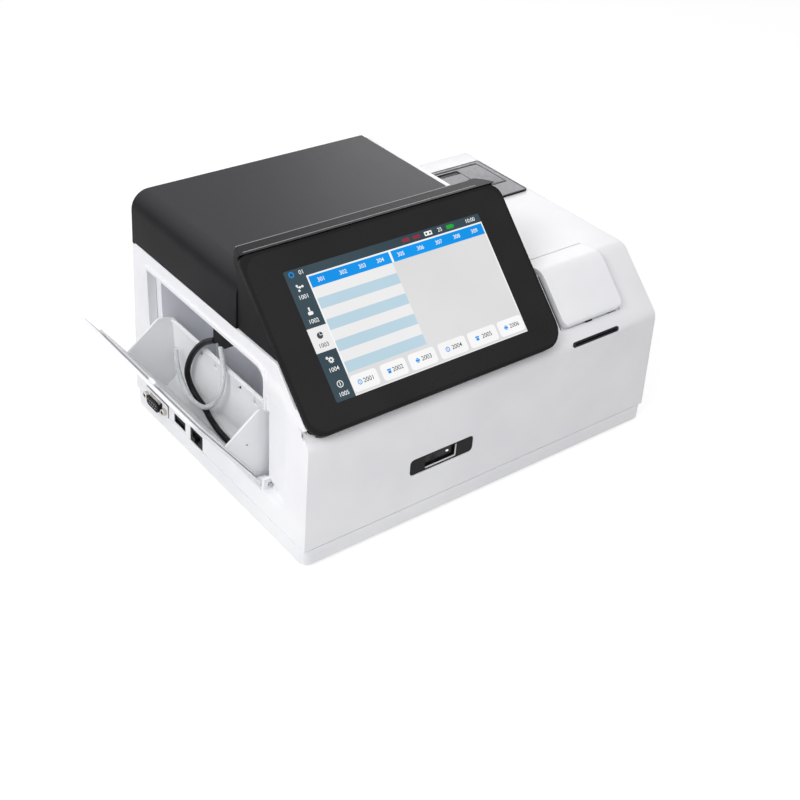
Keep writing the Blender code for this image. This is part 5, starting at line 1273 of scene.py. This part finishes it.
    def menu(self) -> None:
        """Side menu of entries, one of them lit, each with a small sign over a numeral."""
        high = self.top - self.bar_height
        height = (high - self.bottom) / len(MENU_SIGNS)
        middle = self.left + self.menu_width / 2
        chosen = Shells()
        upper = high - height * self.chosen_entry
        self.tile(chosen, (self.left, self.left + self.menu_width, upper - height, upper), 1)
        chosen.make("display_chosen_entry", ROW_LIGHT, Body.CASE)
        pale, dark = Shells(), Shells()
        for index, sign in enumerate(MENU_SIGNS):
            shells = dark if index == self.chosen_entry else pale
            spot = (middle, high - height * (index + self.entry_sign_share))
            sign.add(shells, spot, self.icon, *self.level(2))
            spot = (middle, high - height * (index + self.entry_numeral_share))
            shells.words(ON_SLOPE, spot, f"{self.first_entry + index}", self.numeral, *self.level(2))
        pale.make("display_menu_signs", WHITE_LIGHT, Body.CASE)
        dark.make("display_chosen_sign", INK_LIGHT, Body.CASE)

    def keys(self) -> None:
        """White keys along the bottom, each with a blue sign and a dark numeral."""
        plates, signs, numerals = Shells(), Shells(), Shells()
        middle = self.key_low + self.key_height / 2
        low, high = self.level(4)
        for index, (left, right) in enumerate(self.key_spans):
            width = right - left
            self.tile(plates, (left, right, self.key_low, self.key_low + self.key_height), 3, self.key_corner)
            spot = (left + width * self.key_sign_share, middle)
            KEY_SIGNS[index % len(KEY_SIGNS)].add(signs, spot, self.key_icon, low, high)
            spot = (left + width * self.key_numeral_share, middle)
            numerals.words(ON_SLOPE, spot, f"{self.first_key + index}", self.key_numeral, low, high)
        plates.make("display_keys", WHITE_LIGHT, Body.CASE)
        signs.make("display_key_signs", BLUE_LIGHT, Body.CASE)
        numerals.make("display_key_numerals", INK_LIGHT, Body.CASE)

    def bar(self) -> None:
        """Status bar: a blue ring, small red, white and green signs, and a clock of plain numerals."""
        middle = self.top - self.bar_height / 2
        low, high = self.level(2)
        blue, white = Shells(), Shells()
        x, inner, outer = self.bar_ring
        blue.ring(ON_SLOPE, (x, middle), inner, outer, low, high)
        blue.make("display_bar_ring", BLUE_LIGHT, Body.CASE)
        for x, text in self.bar_numerals:
            white.words(ON_SLOPE, (x, middle), text, self.numeral, low, high)
        x, line = self.bar_mark, self.bar_mark_line
        wide, tall = self.bar_mark_half
        for side in (-1, 1):
            white.slab(ON_SLOPE, (x, middle + side * (tall - line)), (wide, line), line / 2, low, high)
            white.slab(ON_SLOPE, (x + side * (wide - line), middle), (line, tall), line / 2, low, high)
        white.ring(ON_SLOPE, (x, middle), DISC_HOLE, line * 2, low, high, steps=12)
        white.make("display_bar_signs", WHITE_LIGHT, Body.CASE)
        for name, finish, plates in (
            ("display_bar_red_signs", RED_LIGHT, self.red_plates),
            ("display_bar_green_sign", GREEN_LIGHT, self.green_plates),
        ):
            shells = Shells()
            for x, wide, tall, corner in plates:
                shells.slab(ON_SLOPE, (x, middle), (wide, tall), corner, low, high)
            shells.make(name, finish, Body.CASE)


# Trim and fittings


@dataclass(frozen=True)
class ScreenTrim:
    """Black sheet over the frame and the glass, the white seat under the frame's corner, and two pale
    lines of painted highlight along the top edges of the housing."""

    sheet_sides: tuple[float, float, float, float] = (0.0060, 0.2028, -0.0488, 0.0628)
    corner: float = 0.0110
    sheet: float = 0.00004
    seat_sides: tuple[float, float, float, float] = (0.0032, 0.0053, -0.0440, -0.0300)
    seat_top: float = 0.0048
    seat_corner: float = 0.0011
    highlight_left: float = 0.0090
    highlight_right: float = 0.1880
    highlight_rows: tuple[float, ...] = (0.0829, 0.0912)
    highlight_half: float = 0.00035
    highlight_height: float = 0.1800

    def build(self) -> None:
        """Makes the sheet, the seat and the lines of painted highlight."""
        shells = Shells()
        face = BEZEL_OFFSET + self.sheet
        shells.patch(ON_SLOPE, self.sheet_sides, self.corner, BEZEL_OFFSET, face, steps=12)
        shells.make("screen_cover_sheet", COVER_SHEET, Body.CASE)
        shells = Shells()
        corner = self.seat_corner
        shells.patch(ON_SLOPE, self.seat_sides, corner, -corner, self.seat_top, corner / 2)
        shells.make("screen_seat", WHITE_ABS, Body.CASE)
        # Pale grey strips along the top edges: painted highlight.
        shells = Shells()
        half = self.highlight_half
        for row in self.highlight_rows:
            sides = (self.highlight_left, self.highlight_right, row - half, row + half)
            shells.patch(UPRIGHT, sides, half, self.highlight_height - half, self.highlight_height + self.sheet)
        shells.make("screen_painted_edge_highlights", GREY_ABS_AND_PAINTED_LIGHT_AND_SHADE, Body.CASE)


@dataclass(frozen=True)
class CheekFairing:
    """White fillet that carries the left wall smoothly out to the upright rim of the drawer opening.

    Over the drafted wall, at height z, the rim stands proud by side draft times z less rim_x. The
    fairing stands as far, times a smooth share that rises over fade behind its front edge, and falls
    from full_height to end_height. Its front edge is at start, or where the slope's shoulder passes.
    A share of s gives 3 s squared - 2 s cubed.
    """

    rim_x: float = 0.00206
    start: float = 0.0095
    shoulder: float = 0.0903
    fade: float = 0.0120
    rim_front: float = 0.0230
    rim_rear: float = 0.0499
    low: float = 0.0690
    rim_top: float = 0.1024
    full_height: float = 0.1085
    end_height: float = 0.1190
    lift: float = 0.00003
    depth: float = 0.0008
    rows: int = 40
    columns: int = 28

    @staticmethod
    def eased(value: np.ndarray, first: float, last: float) -> np.ndarray:
        """Smooth share of the way from first to last.

        Args:
            value: Where along it.
            first: Where the share is 0.
            last: Where it is 1.

        Returns:
            The share, 3 s squared - 2 s cubed of the straight one.
        """
        share = np.clip((value - first) / (last - first), 0, 1)
        return share * share * (3 - 2 * share)

    def build(self) -> None:
        """Makes the fairing as one closed skin."""
        height = np.concatenate(
            [
                np.linspace(self.low, self.rim_top, self.rows),
                np.linspace(self.rim_top + self.lift, self.end_height, self.rows),
            ]
        )[:, None]
        reach = np.where(height > self.rim_top, self.rim_rear, self.rim_front)
        edge = np.maximum(self.start, height - self.shoulder)
        y = edge + (reach - edge) * np.linspace(0, 1, self.columns)[None]
        share = self.eased(y, edge, edge + self.fade) * self.eased(height, self.end_height, self.full_height)
        wall = SIDE_DRAFT_SHARE * height + 0 * y
        proud = np.clip(wall - self.rim_x, 0, None) * share
        front = np.stack([wall - proud - self.lift, y, height + 0 * y], -1)
        back = np.stack([wall + self.depth, y, height + 0 * y], -1)
        shells = Shells()
        shells.skin(UPRIGHT.put(front), UPRIGHT.put(back))
        shells.make("cheek_fairing", WHITE_ABS, Body.CASE, sharp=50.0)


@dataclass(frozen=True)
class Sockets:
    """What shows in the three sockets low on the left wall: contacts, shells and screws."""

    serial: tuple[float, float] = (-0.1845, 0.0159)
    plate_half: tuple[float, float] = (0.0157, 0.0056)
    shell_half: tuple[float, float] = (0.00845, 0.0042)
    shell_corner: float = 0.0026
    shell_wall: float = 0.0004
    body_reach: float = 0.0040
    plate: float = 0.0006
    pin: float = 0.0005
    pin_pitch: float = 0.00277
    pin_rows: float = 0.00142
    screw_pitch: float = 0.0250
    screw: float = 0.0027
    screw_hole: float = 0.0014
    wall_x: float = 0.0001

    def build(self) -> None:
        """Makes the white surround, the black body with its pins, and the two hexagon posts."""
        back = -self.wall_x
        face = self.plate - self.wall_x
        shells = Shells()
        shells.frame(ON_LEFT, self.serial, self.plate_half, self.shell_half, self.shell_corner, back, face)
        shells.make("serial_surround", WHITE_ABS, Body.CASE)
        shells = Shells()
        inner = (self.shell_half[0] - self.shell_wall, self.shell_half[1] - self.shell_wall)
        shells.slab(ON_LEFT, self.serial, inner, self.shell_corner, back, self.body_reach)
        shells.make("serial_body", SOCKET_PLASTIC_AND_PAINTED_SHADE, Body.CASE)
        self.pins()
        self.posts()

    def pins(self) -> None:
        """Five holes' rims over four, half a pitch apart."""
        shells = Shells()
        low, high = self.body_reach - self.pin, self.body_reach + self.pin / 2
        for row, count in enumerate((5, 4)):
            along = self.serial[1] + self.pin_rows * (1 - 2 * row)
            for index in range(count):
                across = self.serial[0] + self.pin_pitch * (index - (count - 1) / 2)
                shells.ring(ON_LEFT, (across, along), self.pin / 2, self.pin, low, high, steps=12)
        shells.make("serial_pins", NICKEL, Body.CASE)

    def posts(self) -> None:
        """Two hexagon posts, half the screw pitch to either side, each with a dark disc of painted shade for
        its threaded hole.
        """
        shells, hole_shades = Shells(), Shells()
        low, high = self.plate / 2, self.plate + self.screw
        bevel = self.plate / 2
        profile = [(self.screw, low), (self.screw, high - bevel), (self.screw - bevel, high)]
        for side in (-1, 1):
            centre = (self.serial[0] + side * self.screw_pitch / 2, self.serial[1])
            shells.lathe(ON_LEFT, centre, profile, squared=1.0)
            # Dark disc on the post's top: painted shade of its threaded hole.
            hole_shade = (self.screw_hole / 8, self.screw_hole)
            hole_shades.ring(ON_LEFT, centre, *hole_shade, high - self.plate, high + self.wall_x / 2)
        shells.make("serial_posts", NICKEL, Body.CASE)
        hole_shades.make("serial_post_hole_painted_shade", SOCKET_PLASTIC_AND_PAINTED_SHADE, Body.CASE)


@dataclass(frozen=True)
class Contacts:
    """Eight gold springs in the network socket and four in the USB socket, deep inside."""

    network: tuple[float, float] = (-0.1311, 0.0196)
    network_pitch: float = 0.00102
    usb: tuple[float, float] = (-0.1537, 0.0164)
    usb_pitch: float = 0.0025
    half: tuple[float, float] = (0.00028, 0.0006)
    corner: float = 0.00014
    low: float = -0.0046
    high: float = -0.0036

    def build(self) -> None:
        """Makes both rows of springs."""
        shells = Shells()
        for centre, pitch, count in ((self.network, self.network_pitch, 8), (self.usb, self.usb_pitch, 4)):
            for index in range(count):
                spot = (centre[0] + pitch * (index - (count - 1) / 2), centre[1])
                shells.slab(ON_LEFT, spot, self.half, self.corner, self.low, self.high)
        shells.make("socket_springs", GOLD, Body.CASE)


@dataclass(frozen=True)
class ReaderTrim:
    """Light guide along the lower and right side of the code reader's window, a glowing spot of painted
    highlight on the window, and its lens.
    """

    left: float = 0.0942
    right: float = 0.1194
    low: float = 0.0372
    high: float = 0.0468
    guide: float = 0.0005
    face: float = -0.0015
    deep: float = -0.0023
    window: float = -0.0038
    spot: tuple[float, float] = (0.1135, 0.0424)
    glint_half: tuple[float, float] = (0.0010, 0.0006)
    lens: tuple[float, float] = (0.1022, 0.0407)
    rings: tuple[float, ...] = (0.0008, 0.0017, 0.0027)
    line: float = 0.0003

    def build(self) -> None:
        """Makes the guide, the glowing spot of painted highlight and the rings of the lens."""
        shells = Shells()
        for sides in (
            (self.left, self.right, self.low, self.low + self.guide),
            (self.right - self.guide, self.right, self.low, self.high),
        ):
            shells.patch(ON_FRONT, sides, self.guide / 3, self.deep, self.face)
        shells.make("reader_light_guide", WHITE_ABS, Body.CASE)
        # Glowing spot on the window: painted highlight.
        shells = Shells()
        shells.slab(ON_FRONT, self.spot, self.glint_half, self.line, self.window, self.window + self.line)
        shells.make("reader_window_painted_highlight", PAINTED_GLINT, Body.CASE)
        shells = Shells()
        face = self.window + self.line / 3
        for radius in self.rings:
            shells.ring(ON_FRONT, self.lens, radius - self.line, radius, self.window, face)
        shells.make("reader_lens_rings", DARK_ABS_AND_PAINTED_SHADE, Body.CASE)


@dataclass(frozen=True)
class LidTrim:
    """Painted shadow: a dark line on the deck along the lid's left side, and painted shade for the finger
    notch and the joint under its lower edge.
    """

    shadow_x: float = 0.2124
    shadow_low: float = -0.0420
    shadow_high: float = -0.0030
    joint: float = 0.0007
    notch: tuple[float, float] = (0.2378, -0.0427)
    notch_half: tuple[float, float] = (0.0032, 0.0006)
    mark: tuple[float, float] = (0.2598, -0.0426)
    mark_half: tuple[float, float] = (0.0040, 0.0003)
    film: float = 0.00005

    def build(self) -> None:
        """Makes the painted shadow line, the notch's painted shade and the short painted shade line at the
        right.
        """
        shells = Shells()
        # Dark line beside the lid and dark patch at its notch: painted shadow; joint is the line's width.
        half = self.joint / 2
        sides = (self.shadow_x - half, self.shadow_x + half, self.shadow_low, self.shadow_high)
        shells.patch(ON_SLOPE, sides, self.joint / 3, -self.film, self.film)
        shells.slab(ON_SLOPE, self.notch, self.notch_half, self.film, -self.film, self.film)
        shells.make("lid_painted_shadow", DARK_ABS_AND_PAINTED_SHADE, Body.CASE)
        # Short grey line under the lid's lower edge: painted shade.
        shells = Shells()
        shells.slab(ON_SLOPE, self.mark, self.mark_half, self.film, -self.film, self.film)
        shells.make("lid_edge_painted_shade", GREY_ABS_AND_PAINTED_LIGHT_AND_SHADE, Body.CASE)


@dataclass(frozen=True)
class PrinterTrim:
    """Black joints of the printer: round its frame, round its cover and beside the lever.

    Each outline is its centre, half size and width of line.
    """

    outlines: tuple[tuple[tuple[float, float], tuple[float, float], float], ...] = (
        ((0.2505, 0.16715), (0.0415, 0.02915), 0.0011),
        ((0.2505, 0.1740), (0.0368, 0.0181), 0.0009),
    )
    corner: float = 0.0020
    depth: float = 0.0011
    top: float = 0.12920
    lever_left: float = 0.2346
    lever_right: float = 0.2630
    lever_rear: float = 0.1858
    lever_gap: float = 0.0013
    lever_front: float = 0.1790
    film: float = 0.00004

    def build(self) -> None:
        """Makes the joints of the frame, which stay, and those that swing with the cover."""
        shells = Shells()
        low, high = self.top - self.depth, self.top + self.film
        for centre, outer, line in self.outlines:
            shells.frame(UPRIGHT, centre, outer, (outer[0] - line, outer[1] - line), self.corner, low, high)
        shells.make("printer_outline", SOCKET_PLASTIC_AND_PAINTED_SHADE, Body.CASE)
        shells = Shells()
        front, rear = self.lever_rear - self.lever_gap, self.lever_rear + self.lever_gap
        for sides in (
            (self.lever_left, self.lever_right, front, rear),
            (self.lever_left - self.lever_gap / 2, self.lever_left, self.lever_front, rear),
        ):
            shells.patch(UPRIGHT, sides, self.film, self.top - self.film, self.top + self.film)
        shells.make("printer_cover_joints", SOCKET_PLASTIC_AND_PAINTED_SHADE, Body.COVER)


@dataclass(frozen=True)
class DrawerTrim:
    """Dark plate of painted shade seen through the bin's three-cornered holes, a catch on the door and a
    cover plug.
    """

    shade_sides: tuple[float, float, float, float] = (0.0600, 0.1400, 0.0700, 0.0780)
    shade_x: tuple[float, float] = (0.0152, 0.0155)
    catch_half: tuple[float, float] = (0.0038, 0.0014)
    catch_corner: float = 0.0013
    catch_inward: float = 0.0014
    catch_low: float = -0.0048
    catch_high: float = -0.0003
    plug: tuple[float, float] = (-0.0054, 0.0617)
    plug_y: float = 0.0565
    plug_radius: float = 0.0006

    def build(self) -> None:
        """Makes the plate of painted shade, the catch and the plug."""
        shells = Shells()
        # Dark plate behind the holes: painted shade, so that they read dark.
        shells.patch(ALONG_X, self.shade_sides, self.plug_radius, *self.shade_x)
        shells.make("hole_painted_shade", DARK_ABS_AND_PAINTED_SHADE, Body.DRAWER)
        shells = Shells()
        middle, corner = (0, self.catch_inward), self.catch_corner
        shells.slab(DOOR_EDGE, middle, self.catch_half, corner, self.catch_low, self.catch_high, corner / 2)
        shells.make("door_catch", WHITE_ABS, Body.DRAWER)
        shells = Shells()
        profile = [(self.plug_radius, -self.plug_y), (self.plug_radius, -self.plug_y + self.plug_radius / 4)]
        shells.lathe(ON_FRONT, self.plug, profile, steps=16)
        shells.make("gusset_plug", GREY_ABS_AND_PAINTED_LIGHT_AND_SHADE, Body.DRAWER)


@dataclass(frozen=True)
class Screws:
    """Countersunk cross-head screws on the rear wall and under the base pan."""

    radius: float = 0.0028
    crown: float = 0.00196
    rise: float = 0.0006
    slot: float = 0.00035
    slot_half: float = 0.0016
    slot_rise: float = 0.00063
    rear_columns: tuple[float, ...] = (-0.0140, -0.2800)
    rear_rows: tuple[float, ...] = (0.0200, 0.1050)
    under_columns: tuple[float, ...] = (0.0300, 0.2700)
    under_rows: tuple[float, ...] = (-0.0300, -0.1850)

    def build(self) -> None:
        """Makes the heads, and black crossed plates over them as painted shade of their slots."""
        heads, slots = Shells(), Shells()
        profile = [(self.radius, -self.rise), (self.radius, 0), (self.crown, self.rise)]
        spots = [(ON_REAR, spot) for spot in product(self.rear_columns, self.rear_rows)]
        spots += [(UNDER, spot) for spot in product(self.under_columns, self.under_rows)]
        for place, spot in spots:
            heads.lathe(place, spot, profile)
            # Black plates on the head: painted shade of the cross recess.
            for half in ((self.slot_half, self.slot), (self.slot, self.slot_half)):
                slots.slab(place, spot, half, self.slot / 2, self.rise / 2, self.slot_rise)
        heads.make("case_screws", STEEL, Body.CASE)
        slots.make("case_screw_slot_painted_shade", SOCKET_PLASTIC_AND_PAINTED_SHADE, Body.CASE)


def main() -> None:
    """Builds the studio, the hoses, and then each sub-assembly in order."""
    logging.basicConfig(level=logging.INFO, format="%(message)s")
    for assembly in (
        Studio(),
        BLACK_DRAIN,
        CLEAR_DRAIN,
        Mouldings(),
        ScreenTrim(),
        Display(),
        CheekFairing(),
        Sockets(),
        Contacts(),
        ReaderTrim(),
        LidTrim(),
        PrinterTrim(),
        DrawerTrim(),
        Screws(),
    ):
        assembly.build()


if __name__ == "__main__":
    main()
